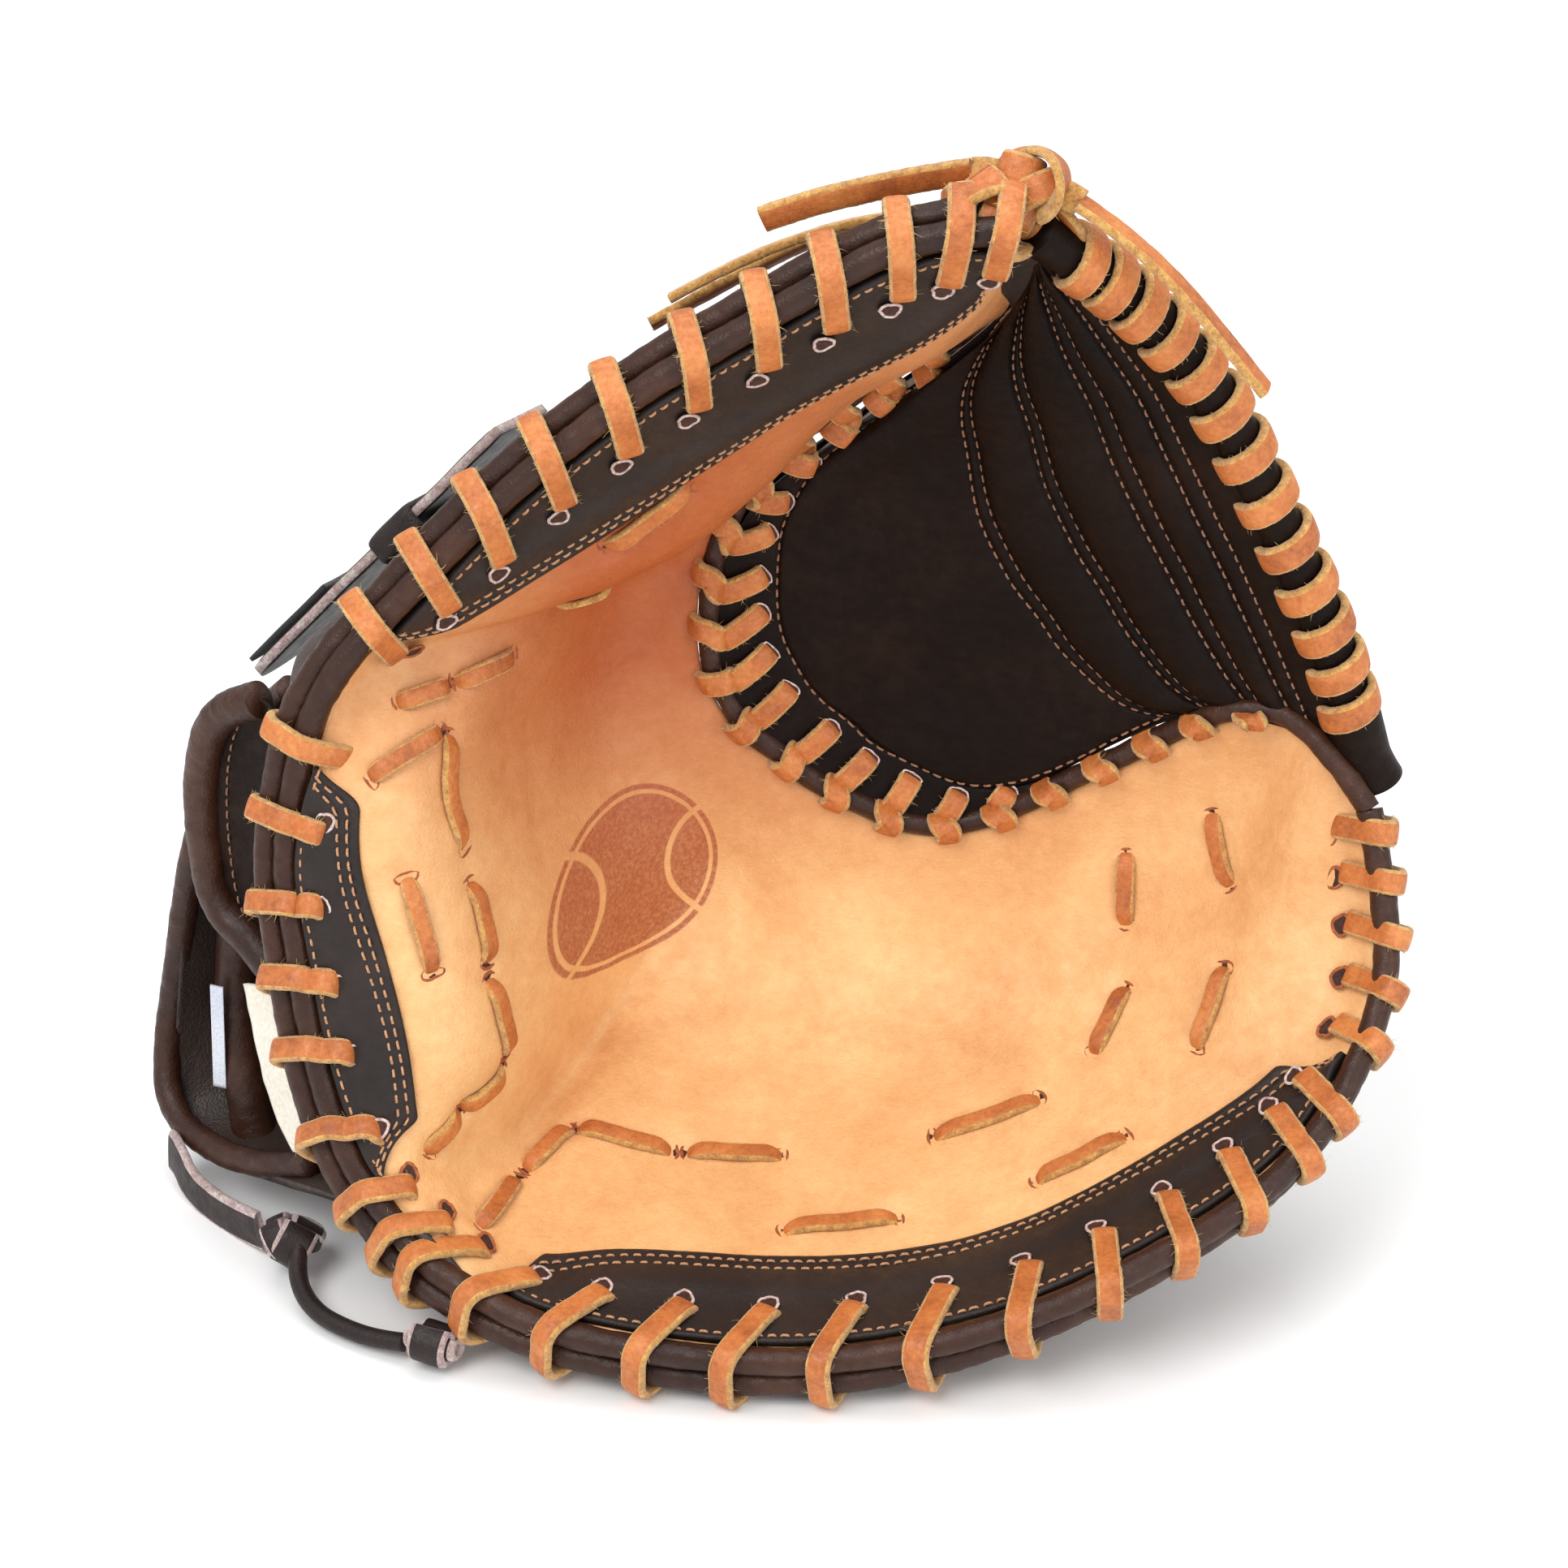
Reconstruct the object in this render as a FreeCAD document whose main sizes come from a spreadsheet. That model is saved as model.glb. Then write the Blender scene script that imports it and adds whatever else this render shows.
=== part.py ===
import FreeCAD, Part  # FreeCAD has to come first
import math
import os
import Sketcher
from FreeCAD import Rotation, Vector

# A baseball catcher's mitt, lying open on the back of its finger side.
# +X runs from the heel to the finger tips, +Y from the open pocket to the back of the hand, +Z up.
# The padded body is a horseshoe: it runs from the thumb tip, down round the heel and out to the
# finger tips, and the web fills its open side. Each station below is one spoke across that horseshoe.

# ---------------------------------------------------------------- driving dimensions, in mm
SIZES = {
    "palm_leather": 2.6,
    "back_leather": 2.4,
    "patch_leather": 1.5,
    "patch_gap": 0.4,
    "layer_gap": 0.5,
    "edge_thickness": 7.0,
    "binding_radius": 3.4,
    "web_binding_radius": 2.9,
    "web_leather": 2.2,
    "web_thickness": 8.0,
    "web_bulge": 13.0,
    "web_setback": 6.8,
    "rib_width": 13.0,
    "lace_width": 6.4,
    "lace_thickness": 2.2,
    "lace_clearance": 0.4,
    "tail_width": 6.4,
    "pocket_sag": 0.22,
    "break_gap": 0.35,
    "knot_ring": 9.0,
    "knot_strand": 4.2,
    "strap_length": 100.0,
    "strap_width": 32.0,
    "strap_thickness": 3.2,
    "keeper_length": 15.0,
    "keeper_leather": 2.2,
    "wrist_cord_radius": 2.4,
    "loop_radius": 6.0,
    "lining": 1.4,
    "web_roll_radius": 5.6,
    "small_knot_ring": 4.8,
    "small_knot_strand": 2.3,
    "cuff_knot_ring": 6.2,
    "cuff_knot_strand": 2.8,
    "cuff_lace_radius": 3.0,
    "keeper_clearance": 0.6,
    "hook_tape": 1.6,
    "hook_length": 30.0,
    "hook_width": 24.0,
    "label_length": 26.0,
    "label_width": 14.0,
    "label_thickness": 0.8,
}

# Each station: rim, inner edge of the reinforcement patch, crest of the padded lobe, edge at the web,
# and the thickness behind the patch edge, behind the crest and behind the pocket.
STATIONS = [
    ("thumb_tip", (51, 60, 276), (51, 70, 266), (51, 82, 258), (56, 92, 250), (14, 15, 10)),
    ("thumb_high", (26, 64, 270), (33, 82, 245), (36, 94, 236), (40, 108, 233), (24, 27, 14)),
    ("thumb_upper", (-2, 68, 253), (7, 88, 228), (14, 98, 221), (23, 116, 220), (31, 34, 18)),
    ("thumb_lower", (-32, 71, 233), (-21, 90, 208), (-9, 102, 196), (7, 122, 205), (35, 37, 20)),
    ("thumb_base", (-65, 73, 205), (-52, 86, 188), (-34, 98, 178), (-8, 125, 191), (36, 37, 20)),
    ("thumb_crease", (-93, 72, 176), (-84, 80, 170), (-58, 98, 168), (-17, 127, 176), (32, 34, 20)),
    ("break", (-108, 70, None), (-97, 77, None), (-68, 95, None), (-21, 128, None), (28, 30, 18)),
    ("heel_upper", (-118, 63, 123), (-103, 60, 127), (-82, 72, 131), (-22, 128, 142), (23, 24, 14)),
    ("heel_mid", (-117, 57, 99), (-99, 54, 101), (-74, 66, 94), (-18, 127, 128), (23, 24, 14)),
    ("heel_low", (-111, 46, 65), (-92, 46, 67), (-70, 62, 61), (-11, 126, 117), (21, 24, 16)),
    ("little_crease", (-96, 32, 36), (-88, 42, 40), (-68, 72, 34), (-2, 125, 110), (18, 24, 20)),
    ("finger_start", (-72, 18, 21), (-66, 34, 21), (-55, 72, 31), (5, 124, 104), (18, 32, 24)),
    ("finger_low", (-46, 8, 17), (-42, 34, 20), (-29, 72, 28), (17, 122, 98), (20, 30, 26)),
    ("finger_mid", (-3, 2, 15), (-2, 34, 18), (7, 74, 26), (34, 120, 92), (19, 28, 26)),
    ("finger_upper", (41, 4, 20), (37, 36, 20), (41, 76, 30), (53, 118, 95), (21, 32, 26)),
    ("finger_high", (80, 12, 32), (70, 42, 29), (70, 78, 40), (70, 115, 105), (25, 36, 25)),
    ("tip_low", (118, 32, 46), (105, 54, 45), (95, 82, 56), (87, 112, 116), (24, 30, 22)),
    ("tip_corner", (138, 50, 64), (127, 62, 61), (113, 84, 74), (101, 108, 126), (22, 27, 18)),
    ("tip_mid", (147, 68, 85), (138, 76, 82), (124, 88, 93), (112, 102, 134), (19, 22, 14)),
    ("tip_high", (143, 84, 117), (137, 88, 113), (129, 92, 118), (124, 98, 136), (13, 14, 9)),
]
# The back of the hand, from the break down to the little-finger side: wrist edge to web edge.
CUFF = [
    ((-117, 82, 150), (-100, 102, 152), (-80, 118, 154), (-52, 129, 157), (-25, 135, 160)),
    ((-150, 110, 112), (-125, 130, 118), (-95, 142, 126), (-60, 144, 136), (-28, 137, 146)),
    ((-162, 115, 50), (-130, 138, 65), (-97, 150, 85), (-60, 150, 108), (-25, 138, 130)),
    ((-156, 100, 8), (-125, 110, 12), (-92, 125, 25), (-55, 139, 65), (-18, 136, 118)),
]
# Lace runs threaded through the palm: station and place of one end, then of the other.
THUMB_STITCHES = [
    (3.84, 0.36, 3.11, 0.33),
    (4.98, 0.56, 4.45, 0.6),
]
HEEL_STITCHES = [
    (6.24, 0.36, 6.26, 0.47),
    (6.27, 0.49, 6.2, 0.59),
    (6.68, 0.32, 6.58, 0.5),
    (6.65, 0.53, 7.41, 0.57),
    (7.47, 0.435, 8.22, 0.42),
    (7.64, 0.56, 8.21, 0.545),
    (8.34, 0.54, 9.04, 0.56),
    (9.15, 0.55, 9.32, 0.455),
    (9.38, 0.44, 9.82, 0.32),
]
FINGER_STITCHES = [
    (10.6, 0.31, 10.64, 0.47),
    (10.68, 0.49, 10.94, 0.56),
    (11.05, 0.56, 12.03, 0.54),
    (12.15, 0.54, 12.82, 0.535),
    (13.93, 0.54, 14.85, 0.55),
    (12.99, 0.385, 13.74, 0.395),
    (14.82, 0.395, 15.52, 0.39),
    (15.96, 0.855, 15.87, 0.745),
    (17.32, 0.83, 17.37, 0.675),
    (15.79, 0.65, 15.38, 0.58),
    (16.95, 0.555, 16.3, 0.47),
]
ROW_PLACE = (0.0, 0.3, 0.55, 0.78, 1.0)
WEB_TOP = [(57, 66, 273), (76, 73, 258), (98, 80, 233), (117, 84, 198), (133, 88, 162), (143, 91, 130)]
WEB_BACKWARD = [(0, 0.73, 0.68), (0.3, 0.92, 0.25), (0.2, 0.97, 0.1), (0.2, 0.96, 0.1), (0.4, 0.9, 0)]
WEB_CORNER = 15.0  # the station where the web's lower corner meets the palm
LAST = len(STATIONS) - 1

# The line that the mitt closes about runs in front of the heel and of the web's free edge.
AXIS_HEEL = Vector(-125, 58, 156)
AXIS_WEB = Vector(132, 73, 190)
BREAK_SLOPE = -0.08  # how the dividing plane falls, per mm towards the back

POCKET_AXIS = Vector(0, 0.883, -0.469)  # points from the open pocket into its depth
POCKET_CENTRE = Vector(25, 100, 130)

# The middle of the mitt's box on the floor, which is the origin of the finished part.
ORIGIN = Vector(-5.5, 71.4, 0.0)

doc = FreeCAD.newDocument("catchers_mitt")
sheet = doc.addObject("Spreadsheet::Sheet", "Sizes")
for number, (alias, value) in enumerate(SIZES.items(), 1):
    sheet.set(f"A{number}", alias)
    sheet.set(f"B{number}", str(value))
    sheet.setAlias(f"B{number}", alias)
doc.recompute()


def size(alias):
    """A driving dimension, read back from the spreadsheet."""
    return float(sheet.get(alias))


# ---------------------------------------------------------------- splines and frames
def break_height(x, y):
    """The height of the plane that divides the thumb side from the finger side."""
    along = (x - AXIS_HEEL.x) / (AXIS_WEB.x - AXIS_HEEL.x)
    front = AXIS_HEEL.y + along * (AXIS_WEB.y - AXIS_HEEL.y)
    return AXIS_HEEL.z + along * (AXIS_WEB.z - AXIS_HEEL.z) + BREAK_SLOPE * (y - front)


def above_break(p):
    """How far a point lies above the dividing plane."""
    return p.z - break_height(p.x, p.y)


def second_derivatives(knots, values):
    """Second derivatives of the natural cubic spline through the values at the knots."""
    count = len(knots)
    curve, rest = [0.0] * count, [Vector()] * count
    for i in range(1, count - 1):
        left, right = knots[i] - knots[i - 1], knots[i + 1] - knots[i]
        share = left / (left + right)
        pivot = share * curve[i - 1] + 2
        curve[i] = (share - 1) / pivot
        slope = (values[i + 1] - values[i]) * (1 / right) - (values[i] - values[i - 1]) * (1 / left)
        rest[i] = (slope * (6 / (left + right)) - rest[i - 1] * share) * (1 / pivot)
    second = [Vector()] * count
    for i in range(count - 2, 0, -1):
        second[i] = second[i + 1] * curve[i] + rest[i]
    return second


class Spline:
    """A natural cubic spline through points, at knots that rise."""

    def __init__(self, points, knots=None):
        self.values = [Vector(*p) for p in points]
        self.knots = list(knots) if knots else [float(i) for i in range(len(points))]
        self.second = second_derivatives(self.knots, self.values)

    def at(self, t):
        k = self.knots
        i = 0
        while i < len(k) - 2 and t > k[i + 1]:
            i += 1
        step = k[i + 1] - k[i]
        a, b = (k[i + 1] - t) / step, (t - k[i]) / step
        bend = self.second[i] * (a**3 - a) + self.second[i + 1] * (b**3 - b)
        return self.values[i] * a + self.values[i + 1] * b + bend * (step * step / 6)


def unit(v):
    return v * (1 / v.Length)


def outward(p):
    """The direction away from the pocket's axis, square to that axis."""
    radial = p - POCKET_CENTRE
    return unit(radial - POCKET_AXIS * radial.dot(POCKET_AXIS))


def station_points():
    """The five guide points of every station: rim, patch, crest, pocket, web edge."""
    rows = []
    for name, *marks, _ in STATIONS:
        points = []
        for x, y, z in marks:
            points.append(Vector(x, y, break_height(x, y) if z is None else z))
        crest, edge = points[2], points[3]
        middle = (crest + edge) * 0.5 + POCKET_AXIS * (size("pocket_sag") * (edge - crest).Length)
        rows.append(points[:3] + [middle, edge])
    return rows


FRONT_ROWS = [Spline([row[i] for row in station_points()]) for i in range(5)]
THICKNESS_ROWS = [
    Spline([(size("edge_thickness"), 0, 0)] * len(STATIONS)),
    Spline([(s[5][0], 0, 0) for s in STATIONS]),
    Spline([(s[5][1], 0, 0) for s in STATIONS]),
    Spline([(s[5][2], 0, 0) for s in STATIONS]),
    Spline([(size("edge_thickness") - 1, 0, 0)] * len(STATIONS)),
]


def front(a, r):
    """The palm leather's face at station a (0 to 19) and r from rim (0) to web edge (1)."""
    return Spline([row.at(a) for row in FRONT_ROWS], ROW_PLACE).at(r)


def normal(surface, a, r, step=0.02):
    """The surface's unit normal on its back side."""
    low_r, high_r = max(0.0, r - step), min(1.0, r + step)
    low_a, high_a = max(0.0, a - step), min(float(LAST), a + step)
    across = surface(a, high_r) - surface(a, low_r)
    along = surface(high_a, r) - surface(low_a, r)
    return unit(across.cross(along))


def lean(a, r):
    """The direction in which the padding builds up behind the palm."""
    tip = min(1.0, max(0.0, (a - 13.5) / 3.0))
    angle = math.radians((52 - 44 * tip) * (1 - 0.85 * max(0.0, (r - 0.45) / 0.55)))
    return unit(POCKET_AXIS * math.cos(angle) + outward(front(a, 0)) * math.sin(angle))


def thickness(a, r):
    return Spline([row.at(a) for row in THICKNESS_ROWS], ROW_PLACE).at(r).x


def settled(z, depth=3.0):
    """A height pressed flat against the floor: unchanged above depth, and never below 0."""
    return z if z > depth else depth * math.exp((z - depth) / depth)


def behind(a, r, inset=0.0):
    """A point on the back shell's outer face, or inset inside it."""
    p = front(a, r) + lean(a, r) * thickness(a, r)
    return Vector(p.x, p.y, settled(p.z)) - lean(a, r) * inset


def cuff_point(a, r):
    """The finger-side back shell, with a from -4 at the break to 0 at the little-finger crease."""
    rows = []
    for i in range(5):
        column = [Vector(*c[i]) for c in CUFF]
        column += [behind(a0, ROW_PLACE[i]) for a0 in (10.0, 11.0, 12.0)]
        rows.append(Spline(column).at(a + 4.0))
    return Spline(rows, ROW_PLACE).at(r)


def back_shell(a, r, inset=0.0):
    """The finger-side back shell's outer face: a below 10 is the back of the hand."""
    if a >= 11.0:
        return behind(a, r, inset=inset)
    outer = cuff_point(a - 10.0, r)
    if inset <= 0:
        return outer
    step = 0.05
    across = cuff_point(a - 10.0, min(1, r + step)) - cuff_point(a - 10.0, max(0, r - step))
    along = cuff_point(min(1.0, a - 10.0 + step), r) - cuff_point(max(-4.0, a - 10.0 - step), r)
    return outer - unit(across.cross(along)) * inset


def find_break(surface, low, high, wanted):
    """The parameter between low and high where the surface crosses the dividing plane, offset."""
    rising = above_break(surface(high)) > above_break(surface(low))
    for _ in range(40):
        middle = (low + high) / 2
        if (above_break(surface(middle)) < wanted) == rising:
            low = middle
        else:
            high = middle
    return (low + high) / 2


# ---------------------------------------------------------------- solids
def spread(low, high, count):
    return [low + (high - low) * i / (count - 1) for i in range(count)]


def poles_through(points):
    """The poles of the natural cubic B-spline through points at whole-number knots."""
    second = second_derivatives([float(i) for i in range(len(points))], points)
    poles = [points[0], points[0] + (points[1] - points[0] - second[1] * (1 / 6)) * (1 / 3)]
    poles += [points[i] - second[i] * (1 / 6) for i in range(1, len(points) - 1)]
    return poles + [points[-1] + (points[-2] - points[-1] - second[-2] * (1 / 6)) * (1 / 3), points[-1]]


def knots_through(count):
    return [float(i) for i in range(count)], [4] + [1] * (count - 2) + [4]


def surface_through(grid):
    """A smooth surface through a grid of points."""
    half = [poles_through(row) for row in grid]
    poles = [list(row) for row in zip(*[poles_through(list(column)) for column in zip(*half)])]
    u_knots, u_counts = knots_through(len(grid))
    v_knots, v_counts = knots_through(len(grid[0]))
    surface = Part.BSplineSurface()
    surface.buildFromPolesMultsKnots(poles, u_counts, v_counts, u_knots, v_knots, False, False, 3, 3)
    return surface


def curve_through(points):
    knots, counts = knots_through(len(points))
    curve = Part.BSplineCurve()
    curve.buildFromPolesMultsKnots(poles_through(points), counts, knots, False, 3)
    return curve


def between(first, second):
    """A solid between two grids of points of the same size."""
    near, far = surface_through(first), surface_through(second)
    u_low, u_high, v_low, v_high = near.bounds()
    faces = [near.toShape(), far.toShape()]
    for take, place in (("uIso", u_low), ("uIso", u_high), ("vIso", v_low), ("vIso", v_high)):
        edges = [getattr(surface, take)(place).toShape() for surface in (near, far)]
        faces.append(Part.makeRuledSurface(*edges))
    solid = Part.Solid(Part.Shell(faces))
    if solid.Volume < 0:
        solid.reverse()
    return solid


def tube(points, radius):
    """A round tube, lofted through rings that don't twist from one to the next."""
    rings, side = [], Vector(0, 0, 1)
    for i, p in enumerate(points):
        along = unit(points[min(i + 1, len(points) - 1)] - points[max(i - 1, 0)])
        side = unit(side - along * side.dot(along))
        ring = Part.makeCircle(radius)
        ring.Placement = FreeCAD.Placement(p, Rotation(side, along.cross(side), along, "ZXY"))
        rings.append(Part.Wire(ring))
    return Part.makeLoft(rings, True, False)


def in_plane(points, origin, square_to):
    """The points, moved square to a plane onto that plane."""
    return [p - square_to * (p - origin).dot(square_to) for p in points]


def band(line, across, width, thick):
    """A flat strip: line is its middle line in one plane, across is square to that plane."""
    offsets = []
    for i, p in enumerate(line):
        back = unit(p - line[i - 1]) if i else unit(line[1] - p)
        ahead = unit(line[i + 1] - p) if i < len(line) - 1 else back
        side = unit(unit(back + ahead).cross(across))
        stretch = 1 / max(0.6, side.dot(unit(back.cross(across))))
        offsets.append(side * (thick / 2 * stretch))
    outline = [p + o for p, o in zip(line, offsets)] + [p - o for p, o in zip(line, offsets)][::-1]
    outline = [p - across * (width / 2) for p in outline]
    return Part.Face(Part.makePolygon(outline + outline[:1])).extrude(across * width)


def rounded_path(points, curl=0.45):
    """Straight runs joined by the largest tangent arcs that they leave room for; returns edges."""
    edges, start, radii = [], points[0], []
    for i in range(1, len(points) - 1):
        before, corner, after = points[i - 1], points[i], points[i + 1]
        one, two = unit(before - corner), unit(after - corner)
        reach = curl * min((before - corner).Length, (after - corner).Length)
        half_turn = (math.pi - one.getAngle(two)) / 2
        radii.append(reach / math.tan(half_turn))
        enter, leave = corner + one * reach, corner + two * reach
        middle = unit(one + two)
        away = radii[-1] / math.cos(half_turn)
        top = corner + middle * (away - radii[-1])
        edges.append(Part.LineSegment(start, enter).toShape())
        edges.append(Part.Arc(enter, top, leave).toShape())
        start = leave
    edges.append(Part.LineSegment(start, points[-1]).toShape())
    return Part.Wire(edges), radii


def add_shape(name, shape):
    """A free-form sub-part, moved so that the finished part stands on its own origin."""
    feature = doc.addObject("Part::Feature", name)
    feature.Label = name
    feature.Shape = shape
    feature.Placement = FreeCAD.Placement(-ORIGIN, Rotation())
    OUTPUT.append(feature)
    return feature


OUTPUT = []

# ---------------------------------------------------------------- where the halves part
GAP = size("break_gap")
THUMB, FINGER = +1, -1


def break_on(surface, r, side, low, high):
    """The station where a surface's row r meets the dividing plane, less the clearance."""
    return find_break(lambda a: surface(a, r), low, high, GAP * side)


def sheet_grid(surface, low, high, rows, columns, near_break=(4.0, 7.6)):
    """Points over rows of r; low or high may be THUMB or FINGER, which stop at the dividing plane."""
    grid = []
    for r in rows:
        first = break_on(surface, r, FINGER, *near_break) if low is FINGER_EDGE else low
        last = break_on(surface, r, THUMB, *near_break) if high is THUMB_EDGE else high
        grid.append([surface(a, r) for a in spread(first, last, columns)])
    return grid


FINGER_EDGE, THUMB_EDGE = "finger edge", "thumb edge"


def add_sheet(name, near, far, low, high, rows, columns, near_break=(4.0, 7.6)):
    grids = [sheet_grid(surface, low, high, rows, columns, near_break) for surface in (near, far)]
    add_shape(name, between(*grids))


def half_space(side):
    """A large block on one side of the dividing plane."""
    corners = []
    for x, y in ((-400, -200), (400, -200), (400, 400)):
        corners.append(Vector(x, y, break_height(x, y) + GAP * side))
    corners.append(corners[0] + corners[2] - corners[1])
    return Part.Face(Part.makePolygon(corners + corners[:1])).extrude(Vector(0, 0, 400 * side))


def keep(shape, side):
    """The part of a shape on one side of the dividing plane."""
    return shape.common(half_space(side))


def add_halves(name, shape):
    add_shape(name + "_thumb_side", keep(shape, THUMB))
    add_shape(name + "_finger_side", keep(shape, FINGER))


# ---------------------------------------------------------------- palm, padding, lining, back
palm_t, back_t, gap = size("palm_leather"), size("back_leather"), size("layer_gap")
lining_t = size("lining")


def raised(a, r, height):
    """A point above (positive) or below the palm's face, square to it."""
    return front(a, r) - normal(front, a, r) * height


def palm_back(a, r):
    return raised(a, r, -palm_t)


def pad_front(a, r):
    return raised(a, r, -palm_t - gap)


def pad_back(a, r):
    """The padding's rear face, which leaves room for the lining and the back shell."""
    room = palm_t + back_t + lining_t + 3 * gap
    deep = max(palm_t + gap + 1.2, thickness(a, r) - room)
    return front(a, r) + unit(lean(a, r) + normal(front, a, r)) * deep


def lining_front(a, r):
    return pad_back(a, r) + lean(a, r) * gap


def lining_back(a, r):
    return lining_front(a, r) + lean(a, r) * lining_t


def back_inner(a, r):
    return back_shell(a, r, inset=back_t)


def thumb_back_inner(a, r):
    return behind(a, r, inset=back_t)


PALM_ROWS = spread(0.0, 1.0, 12)
PAD_ROWS = spread(0.06, 0.9, 9)
LINING_ROWS = spread(0.1, 0.86, 8)
BACK_ROWS = spread(0.0, 1.0, 10)

add_sheet("palm_shell_thumb_side", front, palm_back, 0.0, THUMB_EDGE, PALM_ROWS, 16)
add_sheet("palm_shell_finger_side", front, palm_back, FINGER_EDGE, float(LAST), PALM_ROWS, 30)
for name, low, high in (
    ("thumb_pad", 0.5, THUMB_EDGE),
    ("heel_pad", FINGER_EDGE, 9.6),
    ("finger_pad", 10.1, 14.9),
    ("finger_tip_pad", 15.1, 18.6),
):
    add_sheet(name, pad_front, pad_back, low, high, PAD_ROWS, 12)
for name, low, high in (
    ("thumb_lining", 0.7, THUMB_EDGE),
    ("hand_lining", FINGER_EDGE, 10.0),
    ("finger_lining", 11.3, 18.4),
):
    add_sheet(name, lining_front, lining_back, low, high, LINING_ROWS, 14)
add_sheet("thumb_back_shell", thumb_back_inner, behind, 0.0, THUMB_EDGE, BACK_ROWS, 16)
add_sheet("finger_back_shell", back_inner, back_shell, 6.02, float(LAST), BACK_ROWS, 34, (6.0, 8.0))

# ---------------------------------------------------------------- reinforcement patches on the palm
patch_t, patch_gap = size("patch_leather"), size("patch_gap")


def patch_inner(a, r):
    return raised(a, r, patch_gap)


def patch_outer(a, r):
    return raised(a, r, patch_gap + patch_t)


def add_patch(name, low, high, width, columns):
    """A patch from the rim inward to width(a) of the way, tapering to its ends."""
    grids = []
    for surface in (patch_inner, patch_outer):
        rows = []
        for share in (0.0, 0.25, 0.5, 0.75, 1.0):
            rows.append([surface(a, 0.012 + width(a) * share) for a in spread(low, high, columns)])
        grids.append(rows)
    add_shape(name, between(*grids))


def taper(a, low, high, ends):
    """Rises from 0 at both ends of a patch to 1 within it."""
    edge = min(1.0, max(0.0, min(a - low, high - a) / ends))
    return math.sin(edge * math.pi / 2)


add_patch("thumb_patch", 0.1, 5.15, lambda a: 0.04 + 0.25 * taper(a, 0.1, 5.15, 0.35), 22)
add_patch("heel_patch", 6.5, 9.8, lambda a: 0.04 + 0.26 * taper(a, 6.5, 9.8, 0.4), 18)
add_patch("finger_patch", 10.95, 17.15, lambda a: 0.04 + 0.26 * taper(a, 10.95, 17.15, 0.35), 26)

# ---------------------------------------------------------------- rolled bindings
bind, web_bind = size("binding_radius"), size("web_binding_radius")


def rim_out(a):
    """The direction that points away from the palm across its rim."""
    return unit(front(a, 0.0) - front(a, 0.06))


def palm_rim(a):
    """The middle of the rolled binding on the palm's rim."""
    return front(a, 0) + rim_out(a) * (bind + 0.5) + normal(front, a, 0.0) * (palm_t / 2)


def back_rim(a):
    """The middle of the rolled binding on the back shell's rim."""
    return palm_rim(a) + lean(a, 0) * (2 * bind + 0.5)


def web_rim(a):
    """The middle of the binding along the palm's edge at the web."""
    inward = unit(front(a, 1.0) - front(a, 0.94))
    return front(a, 1) + inward * (web_bind + 0.5) + normal(front, a, 1.0) * (palm_t / 2)


def add_binding(name, middle, radius):
    """A rolled binding along both halves; each tube ends square, clear of the dividing plane."""
    margin = GAP + 0.45 * radius
    for side, suffix in ((THUMB, "_thumb_side"), (FINGER, "_finger_side")):
        end = find_break(middle, 4.5, 7.5, margin * side)
        low, high = (0.0, end) if side == THUMB else (end, float(LAST))
        count = 15 if side == THUMB else 31
        add_shape(name + suffix, tube([middle(a) for a in spread(low, high, count)], radius))


add_binding("palm_binding", palm_rim, bind)
add_binding("back_binding", back_rim, bind)
add_binding("web_binding", web_rim, web_bind)

# The binding goes on round the corner at the finger tips, from the rim to the palm's edge at the web.
tip_start, tip_end = palm_rim(LAST), web_rim(LAST)
tip_out = unit(palm_rim(LAST) - palm_rim(LAST - 0.1))
tip_turn = []
for t in spread(0, 1, 9):
    tip_turn.append(tip_start + (tip_end - tip_start) * t + tip_out * (4.0 * math.sin(math.pi * t)))
tip_turn[0] += tip_out * 0.6
add_shape("tip_binding", tube(tip_turn, web_bind))

# ---------------------------------------------------------------- the web
top_edge = Spline(WEB_TOP)
web_back_direction = Spline(WEB_BACKWARD)
WEB_MIDDLE = Vector(66, 126, 166)


def web_edge(a):
    """The web's own edge, set in from the palm's binding."""
    p = front(a, 1.0)
    return p + unit(WEB_MIDDLE - p) * size("web_setback")


def web_front(s, v):
    """The web's front face: s from 0 at the thumb to 1 at the finger tips, v from 0 to 1 at the top."""
    left, right = web_edge(WEB_CORNER * s), top_edge.at((len(WEB_TOP) - 1) * s)
    start, end = web_edge(0), web_edge(WEB_CORNER)
    top_start, top_end = top_edge.at(0), top_edge.at(len(WEB_TOP) - 1)
    upper = start * (1 - v) + top_start * v
    if v < 1:
        lower = web_edge(WEB_CORNER + (LAST - WEB_CORNER) * v)
        lower = lower * (1 - v**6) + top_end * v**6
    else:
        lower = top_end
    flat = left * (1 - v) + right * v + upper * (1 - s) + lower * s
    flat = flat - (start * (1 - v) + top_start * v) * (1 - s) - (end * (1 - v) + top_end * v) * s
    return flat + POCKET_AXIS * (size("web_bulge") * 16 * s * (1 - s) * v * (1 - v))


def web_behind(s, v, depth):
    """A point behind the web's front face."""
    return web_front(s, v) + unit(web_back_direction.at(4 * s)) * depth


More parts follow.
